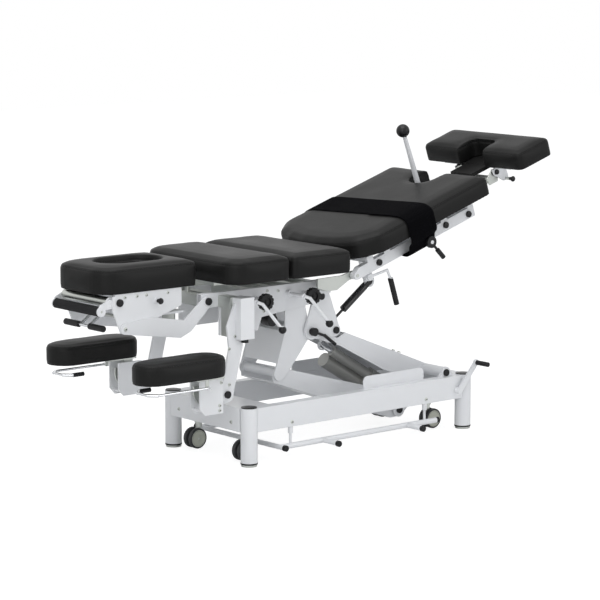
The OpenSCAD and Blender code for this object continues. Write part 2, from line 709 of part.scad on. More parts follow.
// A hook of rod: out along the rest, across under it and back to the grip
module rest_handle() color(chrome_c) {
    x1 = squeeze_x - squeeze_l;
    x2 = x1 - squeeze_bend;
    y1 = squeeze_end_y + squeeze_bend;
    y2 = squeeze_y - squeeze_bend;
    difference() {
        union() {
            across(squeeze_x, squeeze_z, squeeze_eye_d, squeeze_y - squeeze_lug + gap,
                squeeze_y + squeeze_lug);
            bar([squeeze_x - squeeze_pin_d, squeeze_y, squeeze_z], [x1, squeeze_y, squeeze_z], squeeze_d);
        }
        across(squeeze_x, squeeze_z, squeeze_pin_d + 2 * fit, squeeze_y - squeeze_eye_d,
            squeeze_y + squeeze_eye_d);
    }
    bar([x1 + over, squeeze_y + over, squeeze_z], [x2 - over, y2 - over, squeeze_z], squeeze_d + over);
    across(x2, squeeze_z, squeeze_d, y1, y2);
    bar([x2 - over, y1 + over, squeeze_z], [x1 + over, squeeze_end_y - over, squeeze_z], squeeze_d + over);
    bar([x1, squeeze_end_y, squeeze_z], [x1 + squeeze_grip_l, squeeze_end_y, squeeze_z], squeeze_grip_d);
}
module rest_pad_near() place() mirror([0, 1, 0]) rest_pad();
module rest_pad_far() place() rest_pad();
module rest_stem_near() place() mirror([0, 1, 0]) rest_stem();
module rest_stem_far() place() rest_stem();
module rest_handle_near() place() mirror([0, 1, 0]) rest_handle();
module rest_handle_far() place() rest_handle();

// Black trim of the carriage: pivot caps, rubber feet and the drop unit
foot_d = 26;
foot_l = 12;
unit_x0 = 190;
unit_x1 = 219;
unit_z = 468;
unit_y = 100;
unit_d = 44;
module carriage_caps() color(black) place() {
    both() {
        for (p = [[bx, bz, frame_in], [gas_x, gas_z, frame_in], [apex_x, apex_z, frame_in]])
            across(p[0], p[1], pivot_cap_d, p[2], p[2] + pivot_cap_t);
        across(head_x, head_z, pivot_cap_d, head_arm_y + plate_t, head_arm_y + plate_t + pivot_cap_t);
        across(hang_eye_x, hang_eye_z, pivot_cap_d, strap_in + strap_plate_t,
            strap_in + strap_plate_t + pivot_cap_t);
        translate([(hang_x0 + hang_x1) / 2, strap_in + strap_plate_t + foot_d / 2 + gap, hang_z - foot_l])
            cylinder(d = foot_d, h = foot_l);
        block([hang_x0 + sheet_t, strap_in + strap_plate_t, hang_z],
            [hang_x1 - sheet_t, rest_in + rest_box_w - sheet_t, hang_z + foot_l]);
        block([unit_x0, unit_y - unit_d, unit_z], [unit_x1, unit_y, frame_low]);
        across((unit_x0 + unit_x1) / 2, unit_z + unit_d / 4, unit_d, unit_y - unit_d, unit_y);
    }
}
clamp_d = 30;
clamp_w = 10;
clamp_dx = 100;
clamp_dz = 56;
clamp_out = 14;
module clamp_lever() color(black) place() {
    y0 = frame_in + pivot_cap_t + gap;
    across(bx, bz, clamp_d, -y0 - clamp_out, -y0);
    bar([bx, -y0 - clamp_out / 2, bz], [bx + clamp_dx / 2, -y0 - clamp_out / 2, bz - clamp_dz / 3], clamp_w);
    bar([bx + clamp_dx / 2, -y0 - clamp_out / 2, bz - clamp_dz / 3],
        [bx + clamp_dx, -y0 - clamp_out / 2, bz - clamp_dz], clamp_w + over);
    translate([bx + clamp_dx / 2, -y0 - clamp_out / 2, bz - clamp_dz / 3])
        sphere(d = clamp_w + over + knuckle);
}

// ---- Drop sections ----
corner_r = 24;
nose_r = 70;
module thoracic_pad() color(charcoal) place() translate([0, 0, deck_h]) cushion(sym([
    [thoracic_x + nose_r, pad_y - nose_r, nose_r, 1, -1],
    [thoracic_x + thoracic_l - corner_r, pad_y - corner_r, corner_r, -1, -1]]), pad_seam, pad_crown);
module lumbar_pad() color(charcoal) place() translate([0, 0, deck_h]) cushion(sym([
    [lumbar_x + corner_r, pad_y - corner_r, corner_r, 1, -1],
    [lumbar_x + lumbar_l - corner_r, pad_y - corner_r, corner_r, -1, -1]]), pad_seam, pad_crown);
spine_y = 25;
spine_h = 14;
board_in = 24;
board_y = 140;
post_low = 15;
module drop_bracket(x0, x1, posts) color(zinc) place() {
    block([x0 + board_in, -board_y, deck_h - board_t], [x1 - board_in, board_y, deck_h]);
    block([x0 + board_in, -spine_y, deck_h - board_t - spine_h], [x1 - board_in, spine_y, deck_h - board_t]);
    for (x = posts) translate([x, 0, frame_low + post_low])
        cylinder(d = post_d, h = deck_h - board_t - frame_low - post_low);
}
module thoracic_bracket()
    drop_bracket(thoracic_x - board_in / 2, thoracic_x + thoracic_l, [post_x[0], post_x[1]]);
module lumbar_bracket() drop_bracket(lumbar_x, lumbar_x + lumbar_l, [post_x[2], post_x[3]]);
lever_d = 12;
lever_y = 224;
lever_bend = [28, -11];
lever_end = [97, -105];
lever_out = 24;
lever_ball = 28;
lever_in = 12;
module drop_lever(i) color(white) place() translate([lever_x[i], -lever_y, lever_z]) {
    across(0, 0, shaft_d, 0, lever_y - frame_out - fit);
    across(0, 0, shaft_d + lever_d / 2, 0, lever_in);
    bar([0, 0, 0], [lever_bend[0], 0, lever_bend[1]], lever_d);
    translate([lever_bend[0], 0, lever_bend[1]]) sphere(d = lever_d + knuckle);
    bar([lever_bend[0], 0, lever_bend[1]], [lever_end[0], -lever_out, lever_end[1]], lever_d);
    translate([lever_end[0], -lever_out, lever_end[1]]) sphere(d = lever_ball);
}
module thoracic_lever() drop_lever(0);
module lumbar_lever() drop_lever(1);
knob_d = 60;
knob_w = 18;
knob_y = 180;
knob_dish = 34;
knob_dish_t = 5;
knob_flutes = 12;
knob_flute_d = 9;
module drop_knob(i) color(black) place() translate([wheel_x[i], 0, wheel_z]) {
    across(0, 0, shaft_d, -knob_y, -frame_out - fit);
    difference() {
        across(0, 0, knob_d, -knob_y - knob_w, -knob_y);
        across(0, 0, knob_dish, -knob_y - knob_w - over, -knob_y - knob_w + knob_dish_t);
        for (k = [0:knob_flutes - 1]) rotate([0, k * 360 / knob_flutes, 0])
            across(knob_d / 2 + over, 0, knob_flute_d, -knob_y - knob_w - over, -knob_y + over);
    }
}
module thoracic_knob() drop_knob(0);
module lumbar_knob() drop_knob(1);

// ---- Head section ----
head_arm_y = 142;
plate_t = 6;
head_span = 352;
head_sag = 114;
head_low_share = 0.526;
tilt_x = head_x - head_span;
tilt_z = head_z - head_low_share * head_sag;
tilt_pin_d = 14;
head_arm_share = [[-0.69, -0.263], [-0.298, -0.474], [-0.048, 0.13], [0.05, -0.09], [-0.213, -0.842],
    [-0.338, -1], [-0.773, -0.798], [-1, -0.684], [-1, -0.368]];
head_arm_eye_r = 18;
tie_x = -300;
tie_z = 508;
tie_d = 22;
stop_x0 = -330;
stop_x1 = -205;
stop_z = 552;
stop_t = 8;
stop_y = 118;
stop_post_d = 14;
module head_arms() color(white) place() {
    both() difference() {
        union() {
            side(spread(head_arm_share, head_x, head_z, head_span, head_sag), head_arm_y,
                head_arm_y + plate_t);
            across(head_x, head_z, 2 * head_arm_eye_r, head_arm_y, head_arm_y + plate_t);
            across(tilt_x, tilt_z, 2 * head_arm_eye_r, head_arm_y, head_arm_y + plate_t);
            across(tilt_x, tilt_z, tilt_pin_d, head_plate_y - over, head_arm_y);
        }
        across(head_x, head_z, head_pin_d + 2 * fit, head_arm_y - over, head_arm_y + plate_t + over);
    }
    across(tie_x, tie_z, tie_d, -head_arm_y, head_arm_y);
    // Rubber stop bar on two posts
    block([stop_x0, -stop_y, stop_z], [stop_x1, stop_y, stop_z + stop_t]);
    both() translate([tie_x, stop_y - stop_post_d, tie_z]) cylinder(d = stop_post_d, h = stop_z - tie_z);
}
head_plate_y = 135;
head_plate_l = 288;
head_plate_h = deck_h - 8 - tilt_z;
head_plate_share = [[-0.16, 0.98], [-0.14, 1], [0.84, 1], [0.84, 0.504], [0.03, -0.15], [-0.05, -0.12],
    [-0.16, 0.565]];
head_pad_z = deck_h - 3;
roll_x = -525;
roll_z = 620;
roll_d = 34;
paper_x = -562;
paper_z = 591;
paper_d = 34;
paper_axle_d = 8;
roll_share = [[1.1, 0.4], [1.1, -0.7], [0.4, -1.3], [-0.9, -1.4], [-1.4, -1], [-1.15, -0.3], [-0.1, 0.55]];
grip_x = -484;
grip_z = 566;
grip_rod_d = 12;
plunger_x = -340;
plunger_z = 610;
plunger_d = 10;
plunger_sleeve_d = 20;
plunger_sleeve_l = 10;
module head_plates() color(white) place() {
    both() {
        difference() {
            union() {
                side(spread(head_plate_share, tilt_x, tilt_z, head_plate_l, head_plate_h),
                    head_plate_y, head_plate_y + plate_t);
                // Cheeks of the paper roll holder
                side(spread(roll_share, roll_x, roll_z, roll_d, roll_d / 2), head_plate_y - plate_t,
                    head_plate_y);
                across(paper_x, paper_z, paper_d, head_plate_y - plate_t, head_plate_y);
            }
            across(tilt_x, tilt_z, tilt_pin_d + 2 * fit, head_plate_y - over, head_arm_y);
            across(paper_x, paper_z, paper_axle_d + 2 * fit, head_plate_y - head_arm_y, head_arm_y);
            translate([plunger_x, 0, plunger_z]) mirror([0, 1, 0])
                across(0, 0, plunger_d + 2 * fit, -head_arm_y, head_arm_y);
        }
        block([tilt_x - head_plate_l / 8, 0, tilt_z + head_plate_h],
            [tilt_x + head_plate_l * head_plate_share[2][0], head_plate_y + plate_t, head_pad_z]);
    }
    difference() {
        across(plunger_x, plunger_z, plunger_sleeve_d, -head_plate_y - plate_t - plunger_sleeve_l,
            -head_plate_y - plate_t);
        across(plunger_x, plunger_z, plunger_d + 2 * fit, -head_plate_y - 2 * plunger_sleeve_d,
            -head_plate_y);
    }
    across(roll_x, roll_z, roll_d, -head_plate_y + plate_t, head_plate_y - plate_t);
    across(grip_x, grip_z, grip_rod_d, -head_plate_y, head_plate_y);
}
head_x0 = -570;
head_r0 = 75;
head_r1 = 22;
head_seam = 77;
head_crown = 15;
slot_l = 264;
slot_w = 165;
slot_x = -355;
slot_foot_share = 0.76;
module head_pad() color(charcoal) place() translate([0, 0, head_pad_z]) difference() {
    cushion(sym([[head_x0 + head_r0, head_w / 2 - head_r0, head_r0, 1, -1],
        [head_x0 + head_l - head_r1, head_w / 2 - head_r1, head_r1, -1, -1]]), head_seam, head_crown);
    // Face recess
    hull() for (s = [-1, 1])
        translate([slot_x + s * (slot_l - slot_w) / 2, 0, head_seam + head_crown - recess_h])
            cylinder(d1 = slot_w * slot_foot_share, d2 = slot_w * (2 - slot_foot_share), h = 2 * recess_h);
}
knob_ball = 22;
module head_plunger() color(black) place() {
    y0 = -head_plate_y - plate_t - plunger_sleeve_l - gap;
    across(plunger_x, plunger_z, plunger_d, y0, -head_plate_y + plate_t);
    across(plunger_x, plunger_z, knob_ball, y0 - plunger_sleeve_d, y0);
}
grip_bar_x = -538;
grip_bar_z = 528;
grip_half = 110;
grip_bar_d = 10;
grip_d = 22;
grip_l = 78;
grip_arm_y = 20;
module head_handle() color(black) place() {
    difference() {
        both() {
            across(grip_x, grip_z, 2 * grip_rod_d, grip_arm_y, grip_arm_y + grip_bar_d);
            bar([grip_x, grip_arm_y + grip_bar_d / 2, grip_z],
                [grip_bar_x, grip_arm_y + grip_bar_d / 2, grip_bar_z], grip_bar_d);
        }
        across(grip_x, grip_z, grip_rod_d + 2 * fit, -head_plate_y, head_plate_y);
    }
    across(grip_bar_x, grip_bar_z, grip_bar_d, -grip_half, grip_half);
    both() across(grip_bar_x, grip_bar_z, grip_d, grip_half - grip_l, grip_half);
}
module paper_bar() color(black) place() {
    across(paper_x, paper_z, paper_d, -head_plate_y + plate_t + gap, head_plate_y - plate_t - gap);
    across(paper_x, paper_z, paper_axle_d, -head_plate_y + fit, head_plate_y - fit);
}

// ---- Leg section, along its slope: x from the hinge towards the foot, z square to the slope ----
module leg_space() translate([hinge_x, 0, hinge_z]) rotate([0, -leg_tilt, 0]) children();
leg_u1 = 609;
leg_w0 = -15;
leg_w1 = 25;
leg_cross_h = 21;
leg_cross_w = 30;
leg_cross_u = [75, 160, 300, 455, 594];
leg_board_t = 12;
leg_pad_w = leg_w1 + leg_cross_h + leg_board_t;
rod_y = 70;
rod_w = leg_w1 + leg_cross_h / 2;
slide_d = 16;
gas_u = 160;
gas_w = -108;
gas_lug_y = -55;
gas_slot_d = 28;
gas_rod_d = 10;
cam_u = 327;
cam_pin_d = 14;
cam_out = 262;
flex_u = 548;
flex_w = 20;
flex_pin_d = 12;
flex_hub = 26;
flex_cheek = 8;
handle_u = 60;
handle_w = -33;
handle_pin_d = 10;
handle_lug_t = 8;
handle_hub_t = 12;
module leg_frame() color(white) place() leg_space() {
    both() difference() {
        union() {
            side([[0, -hinge_eye_r], [leg_u1, leg_w0], [leg_u1, leg_w1], [hinge_eye_r, leg_w1],
                [0, hinge_eye_r]], leg_rail_y, leg_rail_y + leg_rail_w);
            across(0, 0, 2 * hinge_eye_r, leg_rail_y, leg_rail_y + leg_rail_w);
        }
        across(0, 0, hinge_pin_d + 2 * fit, leg_rail_y - over, leg_rail_y + leg_rail_w + over);
    }
    difference() {
        union() {
            for (u = leg_cross_u) block([u - leg_cross_w / 2, -leg_rail_y - leg_rail_w, leg_w1],
                [u + leg_cross_w / 2, leg_rail_y + leg_rail_w, leg_w1 + leg_cross_h]);
            both() block([leg_cross_u[0] - leg_cross_w, notch_y + over, leg_w1 + leg_cross_h],
                [leg_u1, leg_rail_y, leg_pad_w]);
        }
        both() bar([leg_cross_u[2] + leg_cross_w, rod_y, rod_w], [leg_u1 + over, rod_y, rod_w],
            slide_d + 2 * fit);
    }
    // Lug for the gas strut
    difference() {
        union() {
            side([[gas_u - gas_eye_r, leg_w1 + over], [gas_u + gas_eye_r / 2, leg_w1 + over],
                [gas_u + gas_eye_r, gas_w], [gas_u - gas_eye_r, gas_w]], gas_lug_y - lug_w / 2,
                gas_lug_y + lug_w / 2);
            across(gas_u, gas_w, 2 * gas_eye_r, gas_lug_y - lug_w / 2, gas_lug_y + lug_w / 2);
        }
        across(gas_u, gas_w, gas_slot_d, gas_lug_y - lug_w, gas_lug_y + lug_w);
    }
    // Pin of the strap's cam
    across(cam_u, 0, cam_pin_d, -cam_out, -leg_rail_y - leg_rail_w);
    // Cheeks and pin of the flexion lever
    both() block([flex_u - flex_hub / 2, flex_hub / 2, flex_w - flex_hub / 2],
        [leg_cross_u[4], flex_hub / 2 + flex_cheek, leg_w1 + over]);
    across(flex_u, flex_w, flex_pin_d, -flex_hub / 2, flex_hub / 2);
    // Lug and pin of the release handle
    side([[handle_u - hinge_eye_r, leg_w0 + over], [handle_u + hinge_eye_r, leg_w0 + over],
        [handle_u + hinge_eye_r, handle_w], [handle_u - hinge_eye_r, handle_w]], -leg_rail_y - handle_lug_t,
        -leg_rail_y);
    across(handle_u, handle_w, 2 * hinge_eye_r, -leg_rail_y - handle_lug_t, -leg_rail_y);
    across(handle_u, handle_w, handle_pin_d, -leg_rail_y - handle_lug_t - handle_hub_t - gap,
        -leg_rail_y - handle_lug_t);
}
leg_pad_u = -36;
arc_l = 145;
arc_disc = 60;
arc_ang = [10, 32, 58];
notch_l = 136;
notch_y = 61;
leg_crown = 18;
module leg_pad() color(charcoal) place() leg_space() translate([0, 0, leg_pad_w]) difference() {
    cushion(concat(sym([for (a = arc_ang) [leg_pad_u + arc_l - (arc_l - arc_disc) * cos(a),
        (pad_y - arc_disc) * sin(a), arc_disc, cos(a), -sin(a)]]),
        sym([[leg_pad_u + leg_pad_l - corner_r, pad_y - corner_r, corner_r, -1, -1],
        [leg_pad_u + arc_l, pad_y - arc_disc, arc_disc, 0, -1]])), slope_seam, leg_crown);
    notch_u = leg_pad_u + leg_pad_l - notch_l;
    translate([notch_u + notch_y, 0, -over]) cylinder(r = notch_y, h = 2 * slope_seam);
    block([notch_u + notch_y, -notch_y, -over], [leg_pad_u + leg_pad_l + over, notch_y, 2 * slope_seam]);
}
strap_u = 210;
strap_sheet = 3;
strap_foot_share = 0.56;
// Half of the strap's inner line, from the rail up the cushion's side and over its crown
function strap_half(d) = concat(
    [[leg_rail_y + leg_rail_w + seat, leg_w1 * strap_foot_share - d],
    [pad_y + seat + d, leg_w1 + leg_board_t - d]],
    [for (s = [side_share[1], side_share[2]]) [pad_y + seat + d, leg_pad_w + s[1] * slope_seam]],
    [for (s = crown_share) [pad_y + seat - s[0] * leg_crown + d * max(0, 1 - s[0]),
        leg_pad_w + slope_seam + s[1] * leg_crown + seat + d * min(1, s[0])]]);
module strap() color(black) place() leg_space() translate([strap_u, 0, 0]) rotate([90, 0, 90])
    linear_extrude(strap_w) {
        inner = strap_half(0);
        outer = strap_half(strap_sheet);
        n = len(inner) - 1;
        polygon(concat(inner, [for (i = [n:-1:0]) [-inner[i][0], inner[i][1]]],
            [for (p = outer) [-p[0], p[1]]], [for (i = [n:-1:0]) outer[i]]));
    }
cam_hub = 44;
cam_t = 12;
cam_tip = [41, -78];
cam_arm_d = 10;
cam_grip_d = 18;
module buckle() color(black) place() leg_space() difference() {
    union() {
        across(cam_u, 0, cam_hub, -cam_out + over, -cam_out + over + cam_t);
        bar([cam_u, -cam_out + over + cam_t / 2, 0],
            [cam_u + cam_tip[0] * 2 / 3, -cam_out + over + cam_t / 2, cam_tip[1] * 2 / 3], cam_arm_d);
        bar([cam_u + cam_tip[0] / 2, -cam_out + over + cam_t / 2, cam_tip[1] / 2],
            [cam_u + cam_tip[0], -cam_out + over + cam_t / 2, cam_tip[1]], cam_grip_d);
    }
    across(cam_u, 0, cam_pin_d + 2 * fit, -2 * cam_out, 0);
}
// Gas strut, along its own axis
gas_top = [hinge_x + gas_u * cos(leg_tilt) - gas_w * sin(leg_tilt), hinge_z + gas_u * sin(leg_tilt) + gas_w
    * cos(leg_tilt)];
gas_len = norm([gas_top[0] - gas_x, gas_top[1] - gas_z]);
gas_ang = atan2(gas_top[1] - gas_z, gas_top[0] - gas_x);
module gas_space() translate([gas_x, gas_lug_y, gas_z]) rotate([0, -gas_ang, 0]) children();
gas_d = 28;
gas_end = 0.4;
gas_eye_w = 16;
gas_eye_d = 24;
gas_in_share = 0.57;
gas_fork_t = 6;
// The cylinder hangs from the leg frame and its rod comes out at the foot
module gas_tube() color(black) place() gas_space() {
    difference() {
        bar([gas_end * gas_len, 0, 0], [gas_len - gas_eye_r - 3 * lug_w / 4, 0, 0], gas_d);
        bar([0, 0, 0], [gas_len - gas_eye_r - 5 * lug_w / 4, 0, 0], gas_rod_d + 2 * fit);
    }
    both() {
        block([gas_len - gas_eye_r - lug_w, lug_w / 2 + gap, -gas_eye_d / 3],
            [gas_len, lug_w / 2 + gap + gas_fork_t, gas_eye_d / 3]);
        across(gas_len, 0, gas_eye_d * 2 / 3, lug_w / 2 + gap, lug_w / 2 + gap + gas_fork_t);
    }
    across(gas_len, 0, gas_pin_d, -lug_w / 2 - gap - gas_fork_t, lug_w / 2 + gap + gas_fork_t);
}
module gas_rod() color(black) place() gas_space() difference() {
    union() {
        across(0, 0, gas_eye_d, -gas_eye_w / 2, gas_eye_w / 2);
        bar([gas_eye_d / 4, 0, 0], [gas_eye_d, 0, 0], gas_eye_w - over);
        bar([gas_eye_d * 2 / 3, 0, 0], [gas_in_share * gas_len, 0, 0], gas_rod_d);
    }
    across(0, 0, gas_pin_d + 2 * fit, -gas_eye_w, gas_eye_w);
}
release_d = 10;
release_a = [146, -41];
release_b = [151, -76];
release_c = [151, -180];
release_grip_d = 20;
release_hub_d = 24;
module leg_handle() color(white) place() leg_space() {
    y0 = -leg_rail_y - handle_lug_t - gap;
    y = y0 - handle_hub_t / 2;
    difference() {
        union() {
            across(handle_u, handle_w, release_hub_d, y0 - handle_hub_t, y0);
            bar([handle_u + release_d, y, handle_w], [release_a[0], y, release_a[1]], release_d);
        }
        across(handle_u, handle_w, handle_pin_d + 2 * fit, y0 - 2 * handle_hub_t, y0 + over);
    }
    translate([release_a[0], y, release_a[1]]) sphere(d = release_d + knuckle);
    bar([release_a[0], y, release_a[1]], [release_b[0], y, release_b[1]], release_d);
    bar([release_b[0], y, release_b[1]], [release_c[0], y, release_c[1]], release_grip_d);
}
flex_len = 319;
flex_lean = -17;
flex_d0 = 24;
flex_d1 = 15;
module flexion_lever() color(chrome_c) place() leg_space() translate([flex_u, 0, flex_w]) {
    difference() {
        union() {
            across(0, 0, flex_hub - over, -flex_hub / 2 + gap, flex_hub / 2 - gap);
            rotate([0, atan(flex_lean / flex_len), 0]) cylinder(d1 = flex_d0, d2 = flex_d1, h = flex_len);
        }
        across(0, 0, flex_pin_d + 2 * fit, -flex_hub, flex_hub);
    }
    rotate([0, atan(flex_lean / flex_len), 0]) translate([0, 0, flex_len]) sphere(d = ball_d);
}

// ---- Foot section ----
slide_u0 = 400;
slide_u1 = 830;
yoke_l = 30;
yoke_y = 96;
yoke_t = 6;
foot_pu = 847;
foot_pw = 56;
foot_pin_d = 14;
foot_eye_r = 18;
yoke_eye_r = 12;
foot_gap = 2;
yoke_share = [[-2.6, -0.6], [-2.2, -2.2], [0.2, -2.2], [0.9, -0.4], [0.7, 0.3], [-0.6, 0.75], [-2, -0.3]];
module foot_slide() color(zinc) place() leg_space() {
    both() {
        bar([slide_u0, rod_y, rod_w], [slide_u1, rod_y, rod_w], slide_d);
        side(spread(yoke_share, foot_pu, foot_pw, foot_eye_r, foot_eye_r), yoke_y - yoke_t, yoke_y);
        across(foot_pu, foot_pw, 2 * yoke_eye_r, yoke_y - yoke_t, yoke_y);
        across(foot_pu, foot_pw, foot_pin_d, yoke_y, yoke_y + foot_gap + yoke_t);
    }
    block([slide_u1 - yoke_l, -yoke_y + yoke_t, leg_w1], [slide_u1, yoke_y - yoke_t, leg_w1 + leg_cross_h]);
}
foot_u0 = 826;
foot_w = 80;
foot_board_t = 10;
foot_board_y = 180;
tongue_u = 762;
tongue_y = 58;
tongue_t = 16;
cheek_share = [[-0.9, -0.3], [1.6, -2.6], [2.7, -2.6], [3.1, -1.9], [2.6, 0.8], [-1, 0.8]];
foot_plunger_u = 889;
foot_plunger_w = 14;
module foot_plate() color(white) place() leg_space() {
    both() difference() {
        union() {
            side(spread(cheek_share, foot_pu, foot_pw, foot_eye_r, foot_eye_r), yoke_y + foot_gap,
                yoke_y + foot_gap + yoke_t);
            across(foot_pu, foot_pw, 2 * foot_eye_r - over, yoke_y + foot_gap, yoke_y + foot_gap + yoke_t);
        }
        across(foot_pu, foot_pw, foot_pin_d + 2 * fit, yoke_y, 2 * yoke_y);
        across(foot_plunger_u, foot_plunger_w, plunger_d + 2 * fit, yoke_y, 2 * yoke_y);
    }
    block([foot_u0 + board_in, -foot_board_y, foot_w - foot_board_t],
        [foot_u0 + foot_pad_l - board_in, foot_board_y, foot_w]);
    block([tongue_u, -tongue_y, foot_w - tongue_t], [foot_u0 + 2 * board_in, tongue_y, foot_w - over]);
}
foot_crown = 14;
foot_r = 28;
foot_notch_l = 95;
foot_notch_y = 65;
module foot_pad() color(charcoal) place() leg_space() translate([foot_u0, 0, foot_w]) difference() {
    cushion(sym([[foot_r, pad_y - foot_r, foot_r, 1, -1],
        [foot_pad_l - foot_r, pad_y - foot_r, foot_r, -1, -1]]), slope_seam, foot_crown);
    block([-over, -foot_notch_y, -over], [foot_notch_l - foot_r, foot_notch_y, 2 * slope_seam]);
    block([-over, -foot_notch_y + foot_r, -over], [foot_notch_l, foot_notch_y - foot_r, 2 * slope_seam]);
    for (s = [-1, 1]) translate([foot_notch_l - foot_r, s * (foot_notch_y - foot_r), -over])
        cylinder(r = foot_r, h = 2 * slope_seam);
}
module foot_plunger() color(black) place() leg_space() {
    y0 = yoke_y + foot_gap + yoke_t + gap;
    across(foot_plunger_u, foot_plunger_w, plunger_d, -y0, -yoke_y);
    across(foot_plunger_u, foot_plunger_w, plunger_sleeve_d / 2 + over, -y0 - plunger_sleeve_d, -y0);
    across(foot_plunger_u, foot_plunger_w, knob_ball, -y0 - 2 * plunger_sleeve_d, -y0 - plunger_sleeve_d);
}
// The middle of the whole table along X, where the frame's origin lies
foot_tip_x = hinge_x + (foot_u0 + foot_pad_l) * cos(leg_tilt) - (foot_w + slope_seam / 10) * sin(leg_tilt);
mid_x = (foot_tip_x + paper_x - paper_d / 2) / 2;

side_rails();
end_beams();
legs();
leg_feet();
base_caps();
base_lugs();
castor_frame();
fork_head_near();
fork_head_far();
fork_foot_near();
fork_foot_far();
wheels_head_near();
wheels_head_far();
wheels_foot_near();
wheels_foot_far();
castor_crank();
foot_bar();
upper_arm();
lower_arm();
actuator_tube();
actuator_rod();
carriage_plates();
frame_rails();
frame_cross();
hinge_lugs();
arm_hangers();
carriage_caps();
clamp_lever();
thoracic_pad();
thoracic_bracket();
thoracic_lever();
thoracic_knob();
lumbar_pad();
lumbar_bracket();
lumbar_lever();
lumbar_knob();
head_arms();
head_plates();
head_pad();
head_plunger();
head_handle();
paper_bar();
rest_pad_near();
rest_pad_far();
rest_stem_near();
rest_stem_far();
rest_handle_near();
rest_handle_far();
leg_frame();
leg_pad();
strap();
buckle();
gas_tube();
gas_rod();
leg_handle();
flexion_lever();
foot_slide();
foot_plate();
foot_pad();
foot_plunger();
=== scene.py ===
import bpy, bmesh, math, numpy
from mathutils import Matrix, Vector, Euler


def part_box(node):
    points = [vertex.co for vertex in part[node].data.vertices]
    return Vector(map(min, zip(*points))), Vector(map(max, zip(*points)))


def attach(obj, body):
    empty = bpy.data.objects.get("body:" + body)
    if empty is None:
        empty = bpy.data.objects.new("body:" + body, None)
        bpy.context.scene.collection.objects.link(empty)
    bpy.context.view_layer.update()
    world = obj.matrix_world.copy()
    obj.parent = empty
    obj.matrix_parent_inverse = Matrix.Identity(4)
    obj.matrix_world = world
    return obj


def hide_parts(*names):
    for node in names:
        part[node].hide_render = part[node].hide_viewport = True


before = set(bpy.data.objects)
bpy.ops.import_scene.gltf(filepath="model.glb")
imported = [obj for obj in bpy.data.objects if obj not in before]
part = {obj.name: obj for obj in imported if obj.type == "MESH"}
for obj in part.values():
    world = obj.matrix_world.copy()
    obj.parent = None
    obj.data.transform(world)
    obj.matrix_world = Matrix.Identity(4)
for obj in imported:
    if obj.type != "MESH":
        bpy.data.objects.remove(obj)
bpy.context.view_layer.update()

# ---- Studio: pale floor, one large soft lamp overhead and two wide fills from the camera's side ----
# The camera stands where the photograph was taken, about eight metres off with a long lens.
scene = bpy.context.scene
scene.view_settings.view_transform = "Standard"
camera_elevation, camera_turn = math.radians(8.75), math.radians(-40.03)
camera = bpy.data.objects.new("camera", bpy.data.cameras.new("camera"))
camera.data.lens, camera.data.sensor_width = 147.48, 36
camera.data.clip_end = 60
camera.location = (-5.696, -6.757, 1.878)
camera.rotation_euler = Euler((math.radians(90) - camera_elevation, 0, camera_turn))
scene.collection.objects.link(camera)
scene.camera = camera


def lamp(name, place, target, size, power):
    light = bpy.data.lights.new(name, "AREA")
    light.shape, light.size, light.energy = "DISK", size, power
    stand = bpy.data.objects.new(name, light)
    stand.location = place
    stand.rotation_euler = (Vector(target) - Vector(place)).to_track_quat("-Z", "Y").to_euler()
    scene.collection.objects.link(stand)


lamp("overhead softbox", (-0.6, -0.5, 4.2), (0.1, 0, 0.6), 3.2, 84)
lamp("front fill", (-4.2, -3.2, 2.2), (0, 0, 0.6), 2.8, 50)
lamp("side fill", (2.6, -4.4, 1.9), (0.2, 0, 0.5), 2.4, 26)


def seen_white(tree, shade, strength):
    """Where a camera, mirror or glass ray arrives the surface is plain white, and elsewhere it is the shade."""
    path, either = tree.nodes.new("ShaderNodeLightPath"), None
    for ray in ("Is Camera Ray", "Is Glossy Ray", "Is Transmission Ray"):
        if either is None:
            either = path.outputs[ray]
            continue
        add = tree.nodes.new("ShaderNodeMath")
        add.operation = "MAXIMUM"
        tree.links.new(either, add.inputs[0])
        tree.links.new(path.outputs[ray], add.inputs[1])
        either = add.outputs[0]
    white = tree.nodes.new("ShaderNodeBackground" if shade.type == "BACKGROUND" else "ShaderNodeEmission")
    white.inputs["Color"].default_value = (1, 1, 1, 1)
    white.inputs["Strength"].default_value = strength
    mix = tree.nodes.new("ShaderNodeMixShader")
    tree.links.new(either, mix.inputs[0])
    tree.links.new(shade.outputs[0], mix.inputs[1])
    tree.links.new(white.outputs[0], mix.inputs[2])
    return mix


world = bpy.data.worlds.new("studio air")
scene.world = world
world.use_nodes = True
air = world.node_tree.nodes["Background"]
air_color, air_strength, backdrop_strength = (0.96, 0.98, 1.0, 1), 0.5, 1.0
air.inputs["Color"].default_value = air_color
air.inputs["Strength"].default_value = air_strength
air_mix = seen_white(world.node_tree, air, backdrop_strength)
world.node_tree.links.new(air_mix.outputs[0], world.node_tree.nodes["World Output"].inputs[0])
floor_half, floor_tone, floor_rough, floor_shine, floor_glow_share = 14, 0.9, 0.9, 1.4, 0.62
floor_mesh = bpy.data.meshes.new("studio floor")
floor_mesh.from_pydata([(x * floor_half, y * floor_half, 0) for x, y in ((-1, -1), (1, -1), (1, 1), (-1, 1))], [],
                       [(0, 1, 2, 3)])
floor = bpy.data.objects.new("studio_floor", floor_mesh)
scene.collection.objects.link(floor)
floor_paint = bpy.data.materials.new("studio floor paint")
floor_paint.use_nodes = True
floor_tree = floor_paint.node_tree
floor_shade = floor_tree.nodes["Principled BSDF"]
floor_shade.inputs["Base Color"].default_value = (floor_tone, floor_tone, floor_tone, 1)
floor_shade.inputs["Roughness"].default_value = floor_rough
floor_glow = floor_tree.nodes.new("ShaderNodeEmission")
floor_glow.inputs["Strength"].default_value = floor_shine
floor_path = floor_tree.nodes.new("ShaderNodeLightPath")
